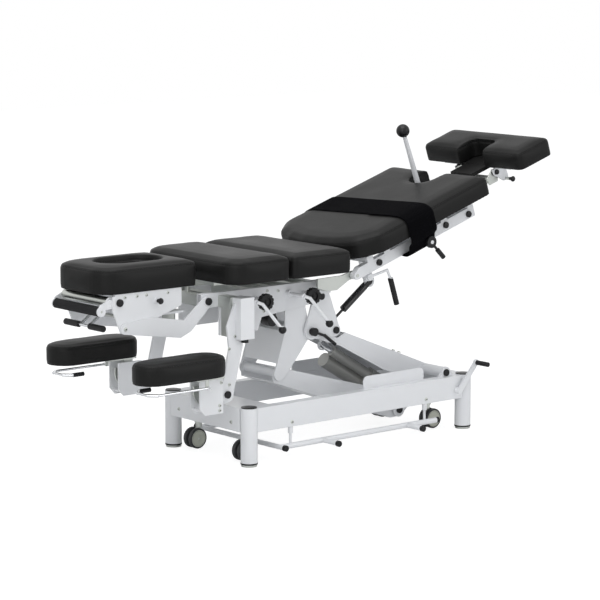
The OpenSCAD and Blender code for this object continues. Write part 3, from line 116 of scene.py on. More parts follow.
floor_mix = floor_tree.nodes.new("ShaderNodeMixShader")
floor_share = floor_tree.nodes.new("ShaderNodeMath")
floor_share.operation = "MULTIPLY"
floor_share.inputs[1].default_value = floor_glow_share
floor_tree.links.new(floor_path.outputs["Is Camera Ray"], floor_share.inputs[0])
floor_tree.links.new(floor_share.outputs[0], floor_mix.inputs[0])
floor_tree.links.new(floor_shade.outputs[0], floor_mix.inputs[1])
floor_tree.links.new(floor_glow.outputs[0], floor_mix.inputs[2])
floor_tree.links.new(floor_mix.outputs[0], floor_tree.nodes["Material Output"].inputs[0])
floor_mesh.materials.append(floor_paint)

# ---- Base frame: two side rails and two end beams of rectangular tube between four round legs ----
# Welded steel, powder-coated white as one piece; black plastic caps close the legs and cover the pivot
# bolts, and each leg stands on a turned foot of zinc-plated steel under a black rubber ring.


coat_rough, grain_depth, cloud_scale, least_rough, edge_samples = 0.12, 0.001, 7.0, 0.03, 4


def finish(name, color, rough, metal=0.0, coat=0.0, grain=300.0, bump=0.0, mottle=0.06, edge=0.0012,
           rough_spread=0.08, shine=0.5):
    """A surface with its own grain, a slow change of colour and gloss, and softened edges."""
    material = bpy.data.materials.new(name)
    material.use_nodes = True
    tree = material.node_tree
    shade = tree.nodes["Principled BSDF"]
    shade.inputs["Metallic"].default_value = metal
    shade.inputs["Coat Weight"].default_value = coat
    shade.inputs["Coat Roughness"].default_value = coat_rough
    shade.inputs["Specular IOR Level"].default_value = shine
    along = tree.nodes.new("ShaderNodeTexCoord").outputs["Object"]
    slow = tree.nodes.new("ShaderNodeTexNoise")
    slow.inputs["Scale"].default_value = cloud_scale
    slow.inputs["Detail"].default_value = 5.0
    tree.links.new(along, slow.inputs["Vector"])
    tone = tree.nodes.new("ShaderNodeMix")
    tone.data_type = "RGBA"
    tone.inputs[6].default_value = (*[c * (1 - mottle) for c in color], 1)
    tone.inputs[7].default_value = (*[min(1, c * (1 + mottle)) for c in color], 1)
    tree.links.new(slow.outputs["Fac"], tone.inputs[0])
    tree.links.new(tone.outputs[2], shade.inputs["Base Color"])
    gloss = tree.nodes.new("ShaderNodeMapRange")
    gloss.inputs["To Min"].default_value = max(least_rough, rough - rough_spread)
    gloss.inputs["To Max"].default_value = min(1, rough + rough_spread)
    tree.links.new(slow.outputs["Fac"], gloss.inputs["Value"])
    tree.links.new(gloss.outputs["Result"], shade.inputs["Roughness"])
    fine = tree.nodes.new("ShaderNodeTexNoise")
    fine.inputs["Scale"].default_value = grain
    fine.inputs["Detail"].default_value = 3.0
    tree.links.new(along, fine.inputs["Vector"])
    rise = tree.nodes.new("ShaderNodeBump")
    rise.inputs["Strength"].default_value = bump
    rise.inputs["Distance"].default_value = grain_depth
    tree.links.new(fine.outputs["Fac"], rise.inputs["Height"])
    if edge:
        soft = tree.nodes.new("ShaderNodeBevel")
        soft.samples = edge_samples
        soft.inputs["Radius"].default_value = edge
        tree.links.new(soft.outputs["Normal"], rise.inputs["Normal"])
    tree.links.new(rise.outputs["Normal"], shade.inputs["Normal"])
    return material


def zoned(name, base, other, tests):
    """The base finish, and the other one where all the tests of one group hold for the point's place in metres.
    A test is (axis, sign, limit), and the axis is x, y or z, or ay for a distance from the middle plane."""
    material = base.copy()
    material.name = name
    tree = material.node_tree
    shade = tree.nodes["Principled BSDF"]
    place = tree.nodes.new("ShaderNodeTexCoord")
    split = tree.nodes.new("ShaderNodeSeparateXYZ")
    tree.links.new(place.outputs["Object"], split.inputs[0])
    mask = None
    for group in tests:
        inside = None
        for axis, sign, limit in group:
            value = split.outputs[axis[-1].upper()]
            if len(axis) == 2:
                size = tree.nodes.new("ShaderNodeMath")
                size.operation = "ABSOLUTE"
                tree.links.new(value, size.inputs[0])
                value = size.outputs[0]
            test = tree.nodes.new("ShaderNodeMath")
            test.operation = "GREATER_THAN" if sign == ">" else "LESS_THAN"
            test.inputs[1].default_value = limit
            tree.links.new(value, test.inputs[0])
            both = tree.nodes.new("ShaderNodeMath")
            both.operation = "MULTIPLY"
            both.inputs[1].default_value = 1.0
            tree.links.new(test.outputs[0], both.inputs[0])
            if inside is not None:
                tree.links.new(inside, both.inputs[1])
            inside = both.outputs[0]
        if mask is None:
            mask = inside
        else:
            more = tree.nodes.new("ShaderNodeMath")
            more.operation = "MAXIMUM"
            tree.links.new(mask, more.inputs[0])
            tree.links.new(inside, more.inputs[1])
            mask = more.outputs[0]
    second = tree.nodes.new("ShaderNodeBsdfPrincipled")
    source = other.node_tree.nodes["Principled BSDF"]
    for key in ("Metallic", "Coat Weight", "Coat Roughness", "Specular IOR Level"):
        second.inputs[key].default_value = source.inputs[key].default_value
    tone = other.node_tree.nodes["Mix"].inputs[6].default_value
    second.inputs["Base Color"].default_value = tone
    rough = other.node_tree.nodes["Map Range"]
    second.inputs["Roughness"].default_value = (rough.inputs["To Min"].default_value
                                                + rough.inputs["To Max"].default_value) / 2
    tree.links.new(tree.nodes["Bump"].outputs["Normal"], second.inputs["Normal"])
    mix = tree.nodes.new("ShaderNodeMixShader")
    tree.links.new(mask, mix.inputs[0])
    tree.links.new(shade.outputs[0], mix.inputs[1])
    tree.links.new(second.outputs[0], mix.inputs[2])
    tree.links.new(mix.outputs[0], tree.nodes["Material Output"].inputs[0])
    return material


def dress(material, *names):
    for name in names:
        part[name].data.materials.clear()
        part[name].data.materials.append(material)


white_coat = finish("white powder coat", (0.80, 0.81, 0.83), 0.36, coat=0.25, grain=420, bump=0.06, mottle=0.015,
                    edge=0.0016)
black_plastic = finish("black moulded plastic", (0.010, 0.010, 0.011), 0.34, grain=900, bump=0.08, edge=0.001,
                       shine=0.28)
zinc_plate = finish("bright zinc plate", (0.60, 0.62, 0.59), 0.34, metal=1.0, grain=150, bump=0.05, mottle=0.1,
                    edge=0.0008)
ring_rubber = finish("black rubber", (0.014, 0.014, 0.015), 0.7, grain=700, bump=0.2, shine=0.3)
dress(white_coat, "side_rails", "end_beams", "legs", "base_lugs")
dress(black_plastic, "base_caps")
foot_height = 0.0077
dress(zoned("foot and ring", ring_rubber, zinc_plate, [[("z", "<", foot_height)]]), "leg_feet")
shift_x = -0.434996


def placed(point):
    """A point in the millimetres of the source's own axes, as metres in the part's frame."""
    return point[0] / 1000 + shift_x, point[1] / 1000, point[2] / 1000


def screw_tree():
    """Geometry Nodes: a domed screw head with a dark hex socket on every point, turned to face the point's way.
    A row of the table is one step of the head: corners, top and bottom radius, height and lift as shares."""
    steps = ((24, 1.25, 1.3, 0.25, -0.05, "Metal"), (24, 1.0, 1.0, 0.7, 0.15, "Metal"),
             (24, 0.78, 1.0, 0.16, 0.85, "Metal"), (6, 0.5, 0.5, 0.25, 0.8, "Socket"))
    tree = bpy.data.node_groups.new("screw heads", "GeometryNodeTree")
    face = tree.interface
    face.new_socket("Geometry", in_out="INPUT", socket_type="NodeSocketGeometry")
    for label, value in (("Head radius", 0.006), ("Head height", 0.004)):
        socket = face.new_socket(label, in_out="INPUT", socket_type="NodeSocketFloat")
        socket.default_value = value
    for label in ("Metal", "Socket"):
        face.new_socket(label, in_out="INPUT", socket_type="NodeSocketMaterial")
    face.new_socket("Geometry", in_out="OUTPUT", socket_type="NodeSocketGeometry")
    start, end = tree.nodes.new("NodeGroupInput"), tree.nodes.new("NodeGroupOutput")

    def scaled(value, share):
        node = tree.nodes.new("ShaderNodeMath")
        node.operation = "MULTIPLY"
        node.inputs[1].default_value = share
        tree.links.new(value, node.inputs[0])
        return node.outputs[0]

    def step_piece(corners, top, bottom, height, lift, material):
        cone = tree.nodes.new("GeometryNodeMeshCone")
        cone.inputs["Vertices"].default_value = corners
        tree.links.new(scaled(start.outputs["Head radius"], top), cone.inputs["Radius Top"])
        tree.links.new(scaled(start.outputs["Head radius"], bottom), cone.inputs["Radius Bottom"])
        tree.links.new(scaled(start.outputs["Head height"], height), cone.inputs["Depth"])
        move = tree.nodes.new("GeometryNodeTransform")
        raise_by = tree.nodes.new("ShaderNodeCombineXYZ")
        tree.links.new(scaled(start.outputs["Head height"], lift), raise_by.inputs["Z"])
        tree.links.new(cone.outputs["Mesh"], move.inputs["Geometry"])
        tree.links.new(raise_by.outputs[0], move.inputs["Translation"])
        paint = tree.nodes.new("GeometryNodeSetMaterial")
        tree.links.new(move.outputs[0], paint.inputs["Geometry"])
        tree.links.new(start.outputs[material], paint.inputs["Material"])
        return paint.outputs[0]

    join = tree.nodes.new("GeometryNodeJoinGeometry")
    for piece in [step_piece(*step) for step in steps]:
        tree.links.new(piece, join.inputs[0])
    facing = tree.nodes.new("GeometryNodeInputNamedAttribute")
    facing.data_type = "FLOAT_VECTOR"
    facing.inputs["Name"].default_value = "facing"
    turn = tree.nodes.new("FunctionNodeAlignRotationToVector")
    turn.axis = "Z"
    tree.links.new(facing.outputs["Attribute"], turn.inputs["Vector"])
    spread = tree.nodes.new("GeometryNodeInstanceOnPoints")
    tree.links.new(start.outputs["Geometry"], spread.inputs["Points"])
    tree.links.new(join.outputs[0], spread.inputs["Instance"])
    tree.links.new(turn.outputs[0], spread.inputs["Rotation"])
    real = tree.nodes.new("GeometryNodeRealizeInstances")
    tree.links.new(spread.outputs[0], real.inputs[0])
    tree.links.new(real.outputs[0], end.inputs[0])
    return tree


heads = screw_tree()


def socket_id(tree, label):
    return next(item.identifier for item in tree.interface.items_tree
                if item.name == label and item.item_type == "SOCKET" and item.in_out == "INPUT")


def made_plain(piece):
    """Turns a piece with live modifiers into a plain mesh."""
    bpy.context.view_layer.update()
    mesh = bpy.data.meshes.new_from_object(piece.evaluated_get(bpy.context.evaluated_depsgraph_get()))
    piece.modifiers.clear()
    piece.data = mesh
    mesh.name = piece.name
    return piece


def screws(name, body, radius, height, places, metal):
    """Screw heads at points in millimetres of the source's own axes, each with the way that it faces."""
    mesh = bpy.data.meshes.new(name)
    mesh.from_pydata([placed(point) for point, way in places], [], [])
    facing = mesh.attributes.new("facing", "FLOAT_VECTOR", "POINT")
    for i, (point, way) in enumerate(places):
        facing.data[i].vector = way
    piece = bpy.data.objects.new(name, mesh)
    scene.collection.objects.link(piece)
    modifier = piece.modifiers.new("heads", "NODES")
    modifier.node_group = heads
    modifier[socket_id(heads, "Head radius")] = radius
    modifier[socket_id(heads, "Head height")] = height
    modifier[socket_id(heads, "Metal")] = metal
    modifier[socket_id(heads, "Socket")] = black_plastic
    made_plain(piece)
    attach(piece, body)
    return piece


def both_sides(y, spots):
    """The (x, z) spots on the near face and on the far one, y from the middle, each with the way that it faces."""
    return [((x, side * y, z), (0, side, 0)) for side in (-1, 1) for x, z in spots]


near, far, head_way, foot_way = (0, -1, 0), (0, 1, 0), (-1, 0, 0), (1, 0, 0)
rail_y, beam_head_x, beam_foot_x, beam_screw_z = 238, -26, 1054, 150
base_points = both_sides(rail_y, [(179, 137), (823, 137)])
for y in (-150, 150):
    base_points += [((beam_head_x, y, beam_screw_z), head_way), ((beam_foot_x, y, beam_screw_z), foot_way)]
screws("base_screws", "base", 0.0055, 0.0035, base_points, zinc_plate)


crease_angle = 0.6


def turned(name, body, outline, origin, axis, material, steps=40):
    """A lathed piece: outline points are (distance along the axis, radius) in millimetres from the origin."""
    mesh = bpy.data.meshes.new(name)
    form = bmesh.new()
    line = [form.verts.new((r / 1000, 0, d / 1000)) for d, r in outline]
    edges = [form.edges.new(pair) for pair in zip(line, line[1:])]
    bmesh.ops.spin(form, geom=line + edges, cent=(0, 0, 0), axis=(0, 0, 1), angle=2 * math.pi, steps=steps,
                   use_duplicate=False)
    bmesh.ops.remove_doubles(form, verts=form.verts, dist=1e-6)
    bmesh.ops.recalc_face_normals(form, faces=form.faces)
    if form.calc_volume() < 0:
        bmesh.ops.reverse_faces(form, faces=form.faces)
    turn = Vector((0, 0, 1)).rotation_difference(Vector(axis)).to_matrix().to_4x4()
    form.transform(Matrix.Translation(placed(origin)) @ turn)
    form.to_mesh(mesh)
    form.free()
    piece = bpy.data.objects.new(name, mesh)
    scene.collection.objects.link(piece)
    mesh.materials.append(material)
    mesh.shade_smooth()
    mesh.set_sharp_from_angle(angle=crease_angle)
    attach(piece, body)
    return piece


def dome_cap(name, body, origin, axis, radius, height):
    """A round black cap with a rolled lip and a slightly domed face."""
    lip, crown, crown_share = min(1.5, height / 3), 1.0, 0.4
    outline = [(0, 0), (0, radius), (height - lip, radius)]
    outline += [(height - lip + lip * math.sin(a), radius - lip + lip * math.cos(a))
                for a in (math.radians(k) for k in (30, 60, 90))]
    outline += [(height + 0.8 * crown, radius * crown_share), (height + crown, 0)]
    turned(name, body, outline, origin, axis, black_plastic)


# ---- Castors: twin wheels on a swivel stem, four of them, under plated cross rods ----
# A thin dark tyre is moulded round a pale grey-green disc; the hub is dished with a low boss.
tyre = finish("castor tyre", (0.035, 0.036, 0.038), 0.55, grain=500, bump=0.12)
disc_plastic = finish("castor disc", (0.50, 0.51, 0.44), 0.4, grain=500, bump=0.05)
dress(zinc_plate, "castor_frame", "fork_head_near", "fork_head_far", "fork_foot_near", "fork_foot_far")
axle_z, wheel_gap_half, castor_trail = 38.5, 5.5, 18
tread = [(0.4, 25), (0.4, 33), (1.2, 35.6), (3.5, 37.2), (9, 37.5), (14.5, 37.2), (16.8, 35.6), (17.6, 33),
         (17.4, 31.4), (16.2, 31), (16.2, 27), (8, 25), (0.4, 25)]
disc = [(0.6, 4.2), (0.6, 26), (8, 26), (15.8, 30.8), (17, 30.6), (17.2, 29.6), (16.2, 27.5), (15.4, 12),
        (16.6, 9), (16.8, 4.2), (0.6, 4.2)]
for end, axle_x in (("head", 56 - castor_trail), ("foot", 916 + castor_trail)):
    for side, y in (("near", -140), ("far", 140)):
        body = f"wheels_{end}_{side}"
        for s, way in ((-1, near), (1, far)):
            origin = (axle_x, y + s * wheel_gap_half, axle_z)
            turned(f"tyre_{end}_{side}_{s + 1}", body, tread, origin, way, tyre, 56)
            turned(f"disc_{end}_{side}_{s + 1}", body, disc, origin, way, disc_plastic, 48)
        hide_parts(body)

# ---- Crank and foot control bar ----
# The crank is a flat white bar with a black grip; it works the castors. The foot bar is a loop of white
# tube, hung from rods, with black plugs in its open ends.
black_grip = finish("black ribbed grip", (0.010, 0.010, 0.011), 0.55, grain=260, bump=0.5, shine=0.3)
crank_grip_y, stub_plug_y, bar_side_y, bar_head_x, bar_foot_x = -0.2595, 0.3055, 0.248, 0.147, 0.880
dress(zoned("crank coat and grip", white_coat, black_grip, [[("y", "<", crank_grip_y)]]), "castor_crank")
dress(zoned("foot bar and plugs", white_coat, black_plastic,
            [[("ay", ">", stub_plug_y)], [("ay", ">", bar_side_y), ("x", "<", bar_head_x + shift_x)],
             [("x", ">", bar_foot_x + shift_x)]]), "foot_bar")

# ---- Lift: two sheet-steel arms that work as a parallelogram, and an electric spindle actuator ----
# The arms are folded from white-coated sheet. The actuator has a satin aluminium tube, a die-cast gear
# housing with its motor beside it, and a chromed rod that ends in a clevis.
dress(white_coat, "upper_arm", "lower_arm")
cast_grey = finish("actuator aluminium", (0.41, 0.41, 0.39), 0.45, metal=0.35, grain=220, bump=0.12,
                   mottle=0.08)
chrome = finish("chrome", (0.72, 0.73, 0.75), 0.09, metal=1.0, grain=80, bump=0.01, mottle=0.02,
                rough_spread=0.03)
dress(cast_grey, "actuator_tube")
dress(chrome, "actuator_rod")
arm_rise, arm_pivot_x, arm_pivot_z, arm_top = math.radians(19.6), 950, 218, 29.5


def arm_point(along, square, y):
    """A point on the upper arm, along it from the base pivot and square to it, in the source's millimetres."""
    return (arm_pivot_x - along * math.cos(arm_rise) + square * math.sin(arm_rise), y,
            arm_pivot_z + along * math.sin(arm_rise) + square * math.cos(arm_rise))


arm_way = (math.sin(arm_rise), 0, math.cos(arm_rise))
screws("arm_screws", "upper_arm", 0.006, 0.005,
               [(arm_point(u, arm_top, y), arm_way) for u in (120, 150) for y in (-60, 60)], zinc_plate)

# ---- Carriage: the frame that the lift carries, with triangle plates, rails, skirts and cross members ----
# White-coated plates, zinc-plated cross channels and hinge lugs, and black caps over the pivot bolts.
dress(white_coat, "carriage_plates", "frame_rails", "arm_hangers")
dress(zinc_plate, "frame_cross", "hinge_lugs")
dress(black_plastic, "carriage_caps", "clamp_lever")
rail_face_y, skirt_face_y, hanger_face_y, case_face_y = 136, 118, 220, 264
plate_points = both_sides(rail_face_y, [(-60, 590), (-20, 590), (150, 595), (200, 590), (380, 592)])
plate_points += both_sides(skirt_face_y, [(0, 540), (90, 530), (150, 520)])
plate_points += both_sides(hanger_face_y, [(-62, 466), (-88, 425), (-88, 300)])
plate_points += both_sides(case_face_y, [(-158, 322), (-165, 243), (-165, 226)])
screws("carriage_screws", "carriage", 0.005, 0.0035, plate_points, zinc_plate)

# ---- Drop sections: thoracic and lumbar cushions on boards that drop by a cocked spring mechanism ----
# Each cushion is foam on a board under charcoal vinyl, with a sewn seam between its top and its side
# panels; a bent white lever with a black ball cocks it, and a fluted black hand wheel sets its tension.


def vinyl_cover():
    """Coated cloth: a fine pebble grain over slow, shallow creases."""
    material = finish("charcoal vinyl", (0.0098, 0.0098, 0.0096), 0.44, grain=640, bump=0.06, mottle=0.07, edge=0,
                      shine=0.15)
    tree = material.node_tree
    cells = tree.nodes.new("ShaderNodeTexVoronoi")
    cells.inputs["Scale"].default_value = 620.0
    crease = tree.nodes.new("ShaderNodeTexNoise")
    crease.inputs["Scale"].default_value = 14.0
    crease.inputs["Detail"].default_value = 2.0
    place = next(n for n in tree.nodes if n.type == "TEX_COORD")
    for node in (cells, crease):
        tree.links.new(place.outputs["Object"], node.inputs["Vector"])
    pebble = tree.nodes.new("ShaderNodeBump")
    pebble.inputs["Strength"].default_value = 0.16
    pebble.inputs["Distance"].default_value = 0.0004
    tree.links.new(cells.outputs["Distance"], pebble.inputs["Height"])
    swell = tree.nodes.new("ShaderNodeBump")
    swell.inputs["Strength"].default_value = 0.10
    swell.inputs["Distance"].default_value = 0.002
    tree.links.new(crease.outputs["Fac"], swell.inputs["Height"])
    tree.links.new(swell.outputs["Normal"], pebble.inputs["Normal"])
    tree.links.new(pebble.outputs["Normal"], tree.nodes["Bump"].inputs["Normal"])
    return material


vinyl = vinyl_cover()
thread = finish("charcoal thread", (0.03, 0.03, 0.031), 0.7, grain=2500, bump=0.3, edge=0, shine=0.2)


def seam_tree():
    """Geometry Nodes: a thin welt along a closed line, or a row of short stitches along it."""
    tree = bpy.data.node_groups.new("seams", "GeometryNodeTree")
    face = tree.interface
    face.new_socket("Geometry", in_out="INPUT", socket_type="NodeSocketGeometry")
    for label, value in (("Thickness", 0.001), ("Pitch", 0.006), ("Stitch length", 0.0038)):
        socket = face.new_socket(label, in_out="INPUT", socket_type="NodeSocketFloat")
        socket.default_value = value
    for label in ("Welt", "Thread"):
        face.new_socket(label, in_out="INPUT", socket_type="NodeSocketMaterial")
    face.new_socket("Geometry", in_out="OUTPUT", socket_type="NodeSocketGeometry")
    start, end = tree.nodes.new("NodeGroupInput"), tree.nodes.new("NodeGroupOutput")
    is_stitch = tree.nodes.new("GeometryNodeInputNamedAttribute")
    is_stitch.data_type = "FLOAT"
    is_stitch.inputs["Name"].default_value = "stitched"
    split = tree.nodes.new("GeometryNodeSeparateGeometry")
    split.domain = "EDGE"
    tree.links.new(start.outputs["Geometry"], split.inputs["Geometry"])
    tree.links.new(is_stitch.outputs["Attribute"], split.inputs["Selection"])
    welt_line = tree.nodes.new("GeometryNodeMeshToCurve")
    tree.links.new(split.outputs["Inverted"], welt_line.inputs["Mesh"])
    ring = tree.nodes.new("GeometryNodeCurvePrimitiveCircle")
    ring.inputs["Resolution"].default_value = 6
    tree.links.new(start.outputs["Thickness"], ring.inputs["Radius"])
    tube = tree.nodes.new("GeometryNodeCurveToMesh")
    tree.links.new(welt_line.outputs["Curve"], tube.inputs["Curve"])
    tree.links.new(ring.outputs["Curve"], tube.inputs["Profile Curve"])
    welt_paint = tree.nodes.new("GeometryNodeSetMaterial")
    tree.links.new(tube.outputs["Mesh"], welt_paint.inputs["Geometry"])
    tree.links.new(start.outputs["Welt"], welt_paint.inputs["Material"])
    row_line = tree.nodes.new("GeometryNodeMeshToCurve")
    tree.links.new(split.outputs["Selection"], row_line.inputs["Mesh"])
    points = tree.nodes.new("GeometryNodeCurveToPoints")
    points.mode = "LENGTH"
    tree.links.new(row_line.outputs["Curve"], points.inputs["Curve"])
    tree.links.new(start.outputs["Pitch"], points.inputs["Length"])
    stitch = tree.nodes.new("GeometryNodeMeshCylinder")
    stitch.inputs["Vertices"].default_value = 6
    stitch.inputs["Radius"].default_value = 0.00045
    tree.links.new(start.outputs["Stitch length"], stitch.inputs["Depth"])
    spread = tree.nodes.new("GeometryNodeInstanceOnPoints")
    tree.links.new(points.outputs["Points"], spread.inputs["Points"])
    tree.links.new(stitch.outputs["Mesh"], spread.inputs["Instance"])
    tree.links.new(points.outputs["Rotation"], spread.inputs["Rotation"])
    real = tree.nodes.new("GeometryNodeRealizeInstances")
    tree.links.new(spread.outputs[0], real.inputs[0])
    row_paint = tree.nodes.new("GeometryNodeSetMaterial")
    tree.links.new(real.outputs[0], row_paint.inputs["Geometry"])
    tree.links.new(start.outputs["Thread"], row_paint.inputs["Material"])
    join = tree.nodes.new("GeometryNodeJoinGeometry")
    tree.links.new(welt_paint.outputs[0], join.inputs[0])
    tree.links.new(row_paint.outputs[0], join.inputs[0])
    tree.links.new(join.outputs[0], end.inputs[0])
    return tree


sewing = seam_tree()


shortest_line, line_rounds = 30, 3


def line_round(mesh, point, normal):
    """The closed lines where a plane cuts a cushion's cover, evened out, as lists of points."""
    form = bmesh.new()
    form.from_mesh(mesh)
    cut = bmesh.ops.bisect_plane(form, geom=form.verts[:] + form.edges[:] + form.faces[:], dist=1e-7,
                                 plane_co=point, plane_no=normal)
    edges = [e for e in cut["geom_cut"] if isinstance(e, bmesh.types.BMEdge)]
    links = {}
    for e in edges:
        a, b = e.verts
        links.setdefault(a, []).append(b)
        links.setdefault(b, []).append(a)
    loops, seen = [], set()
    for first in links:
        if first in seen:
            continue
        loop, here, last = [], first, None
        while here is not None and here not in seen:
            seen.add(here)
            loop.append(here.co.copy())
            step = [v for v in links[here] if v is not last and v not in seen]
            last, here = here, (step[0] if step else None)
        if len(loop) > shortest_line:
            for _ in range(line_rounds):
                loop = [(loop[i - 1] + loop[i] * 2 + loop[(i + 1) % len(loop)]) / 4 for i in range(len(loop))]
            loops.append(loop)
    form.free()
    return loops


def eased(mesh, values, rounds):
    """Each point's value is drawn towards the average of its neighbours' values."""
    count = len(mesh.vertices)
    ends = numpy.empty(len(mesh.edges) * 2, dtype=numpy.int64)
    mesh.edges.foreach_get("vertices", ends)
    a, b = ends[0::2], ends[1::2]
    degree = numpy.maximum(1, numpy.bincount(a, minlength=count) + numpy.bincount(b, minlength=count))
    for _ in range(rounds):
        total = numpy.bincount(a, weights=values[b], minlength=count)
        total += numpy.bincount(b, weights=values[a], minlength=count)
        values = 0.5 * values + 0.5 * total / degree
    return values


cloth_inset, swell_cap, air_pressure, cloth_frames, swell_rounds = 0.0022, 0.005, 4.0, 14, 24
groove_depth, groove_width, stitch_offset, foam_fill = 0.0022, 0.0028, 0.0048, 0.85


def upholster(node, body, lift, tilt=0.0, voxel=0.0045):
    """A vinyl cushion made from the node's own form: a slightly smaller copy is remeshed, blown up as cloth,
    held to a few millimetres' even swell, and then sewn with a welt and a row of stitches along its seam."""
    form = bmesh.new()
    form.from_mesh(part[node].data)
    bmesh.ops.remove_doubles(form, verts=form.verts, dist=1e-5)
    mesh = bpy.data.meshes.new(node + "_cover")
    form.to_mesh(mesh)
    form.free()
    cover = bpy.data.objects.new(node + "_cover", mesh)
    scene.collection.objects.link(cover)
    remesh = cover.modifiers.new("even", "REMESH")
    remesh.mode, remesh.voxel_size = "VOXEL", voxel
    even = cover.modifiers.new("round", "SMOOTH")
    even.factor, even.iterations = 0.5, 1
    made_plain(cover)
    mesh = cover.data
    above = Vector((-math.sin(tilt), 0, math.cos(tilt)))
    low = min(v.co.dot(above) for v in mesh.vertices)
    normals = [v.normal.copy() for v in mesh.vertices]
    resting = [n.dot(above) < -0.7 for n in normals]
    for v, n, rests in zip(mesh.vertices, normals, resting):
        v.co -= n * (0.0 if rests else cloth_inset)
    mesh.update()
    start = [v.co.copy() for v in mesh.vertices]
    cloth = cover.modifiers.new("cloth", "CLOTH")
    rules = cloth.settings
    rules.quality, rules.mass = 4, 0.3
    rules.tension_stiffness = rules.compression_stiffness = 30
    rules.shear_stiffness, rules.bending_stiffness = 12, 2
    rules.use_pressure, rules.uniform_pressure_force = True, air_pressure
    rules.effector_weights.gravity = 0
    cloth.collision_settings.use_collision = False
    cloth.point_cache.frame_start, cloth.point_cache.frame_end = 1, cloth_frames
    scene.frame_start, scene.frame_end = 1, cloth_frames
    for k in range(1, cloth_frames + 1):
        scene.frame_set(k)
    blown = cover.evaluated_get(bpy.context.evaluated_depsgraph_get()).to_mesh()
    swell = numpy.array([(v.co - p).dot(n) for v, p, n in zip(blown.vertices, start, normals)])
    cover.evaluated_get(bpy.context.evaluated_depsgraph_get()).to_mesh_clear()
    cover.modifiers.clear()
    scene.frame_set(1)
    swell = eased(mesh, numpy.clip(swell, -0.3 * swell_cap, swell_cap), swell_rounds)
    seam_level = low + lift
    for v, p, n, rests, rise_by in zip(mesh.vertices, start, normals, resting, swell):
        place = p + n * (0.0 if rests else float(rise_by))
        off = place.dot(above) - seam_level
        v.co = place - n * groove_depth * math.exp(-(off / groove_width) ** 2)
    mesh.update()
    detail = cover.modifiers.new("even", "SUBSURF")
    detail.levels = detail.render_levels = 1
    made_plain(cover)
    mesh = cover.data
    mesh.materials.clear()
    mesh.materials.append(vinyl)
    mesh.shade_smooth()
    verts, edges, kinds = [], [], []
    for offset, kind in ((0.0, 0.0), (stitch_offset, 1.0)):
        for loop in line_round(mesh, above * (seam_level + offset), above):
            first = len(verts)
            verts += loop
            edges += [(first + i, first + (i + 1) % len(loop)) for i in range(len(loop))]
            kinds += [kind] * len(loop)
    line = bpy.data.meshes.new(node + "_seam")
    line.from_pydata(verts, edges, [])
    mark = line.attributes.new("stitched", "FLOAT", "EDGE")
    mark.data.foreach_set("value", kinds)
    seam = bpy.data.objects.new(node + "_seam", line)
    scene.collection.objects.link(seam)
    work = seam.modifiers.new("sewing", "NODES")
    work.node_group = sewing
    work[socket_id(sewing, "Welt")] = vinyl
    work[socket_id(sewing, "Thread")] = thread
    made_plain(seam)
    seam.data.shade_smooth()
    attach(cover, body)
    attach(seam, body)
    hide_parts(node)
    return cover


upholster("thoracic_pad", "thoracic", 0.070)
upholster("lumbar_pad", "lumbar", 0.070)
dress(zinc_plate, "thoracic_bracket", "lumbar_bracket")
ball_top_z, wheel_face_y, wheel_z = 0.4835, -193, 566
dress(zoned("lever and ball", white_coat, black_plastic, [[("z", "<", ball_top_z)]]),
      "thoracic_lever", "lumbar_lever")
dress(black_plastic, "thoracic_knob", "lumbar_knob")
for name, body, x in (("thoracic", "thoracic_knob", 100), ("lumbar", "lumbar_knob", 316)):
    screws(name + "_wheel_screw", body, 0.006, 0.004, [((x, wheel_face_y, wheel_z), near)], black_plastic)

# ---- Head section: swan-neck arms, side plates, a cushion with a face recess, and a paper roll holder ----
# The plates are white-coated sheet; the roll bar is plated, the paper bar is black foam, and the squeeze
# handle has black grips at both ends.
dress(white_coat, "head_arms")
plate_inner_y, roll_bar_top_z, foam_end_y = 0.1285, 0.6395, 0.1287
handle_grip_y, handle_grip_z = 0.0318, 0.5394
dress(zoned("plates and roll bar", white_coat, zinc_plate,
            [[("ay", "<", plate_inner_y), ("z", "<", roll_bar_top_z)]]), "head_plates")
upholster("head_pad", "head", 0.077, voxel=0.004)
black_foam = finish("black foam", (0.018, 0.018, 0.019), 0.85, grain=900, bump=0.6, shine=0.2)
dress(zoned("foam and axle", black_foam, zinc_plate, [[("ay", ">", foam_end_y)]]), "paper_bar")
dress(zoned("handle and grips", chrome, black_grip, [[("ay", ">", handle_grip_y), ("z", "<", handle_grip_z)]]),
      "head_handle")


def pull_knob(name, body, node, origin, collar, ball, reach):
    """The black knob of a lock plunger, waisted behind its ball; its plated pin is turned separately."""
    outline = [(0, 0), (0, collar), (1, collar + 0.6), (reach * 0.35, collar), (reach * 0.5, ball * 0.55),
               (reach * 0.62, ball * 0.9), (reach * 0.75, ball), (reach * 0.9, ball * 0.92),
               (reach - 0.6, ball * 0.7), (reach, 0)]
    knob = turned(name, body, outline, origin, near, black_plastic)
    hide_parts(node)


lock_x, lock_z, pin_y, pin_r, pin_l, plate_y = -340, 610, -130, 5, 21.5, 141
pull_knob("head_lock_knob", "head_plunger", "head_plunger", (lock_x, pin_y - pin_l, lock_z), 6, 11, 20)
turned("head_lock_pin", "head_plunger", [(0, 0), (0, pin_r), (pin_l, pin_r), (pin_l, 0)], (lock_x, pin_y, lock_z),
       near, zinc_plate)
plate_faces = (("near", -plate_y, near), ("far", plate_y, far))
for side, y, way in plate_faces:
    dome_cap("head_plate_cap_" + side, "head", (-493, y, 616), way, 13, 7)
screws("head_tilt_screws", "head_arms", 0.006, 0.004, both_sides(148, [(-474, 525)]), zinc_plate)
screws("head_screws", "head", 0.0045, 0.003,
               [((x, y, 632), way) for x in (-470, -420, -380, -290) for side, y, way in plate_faces],
               zinc_plate)

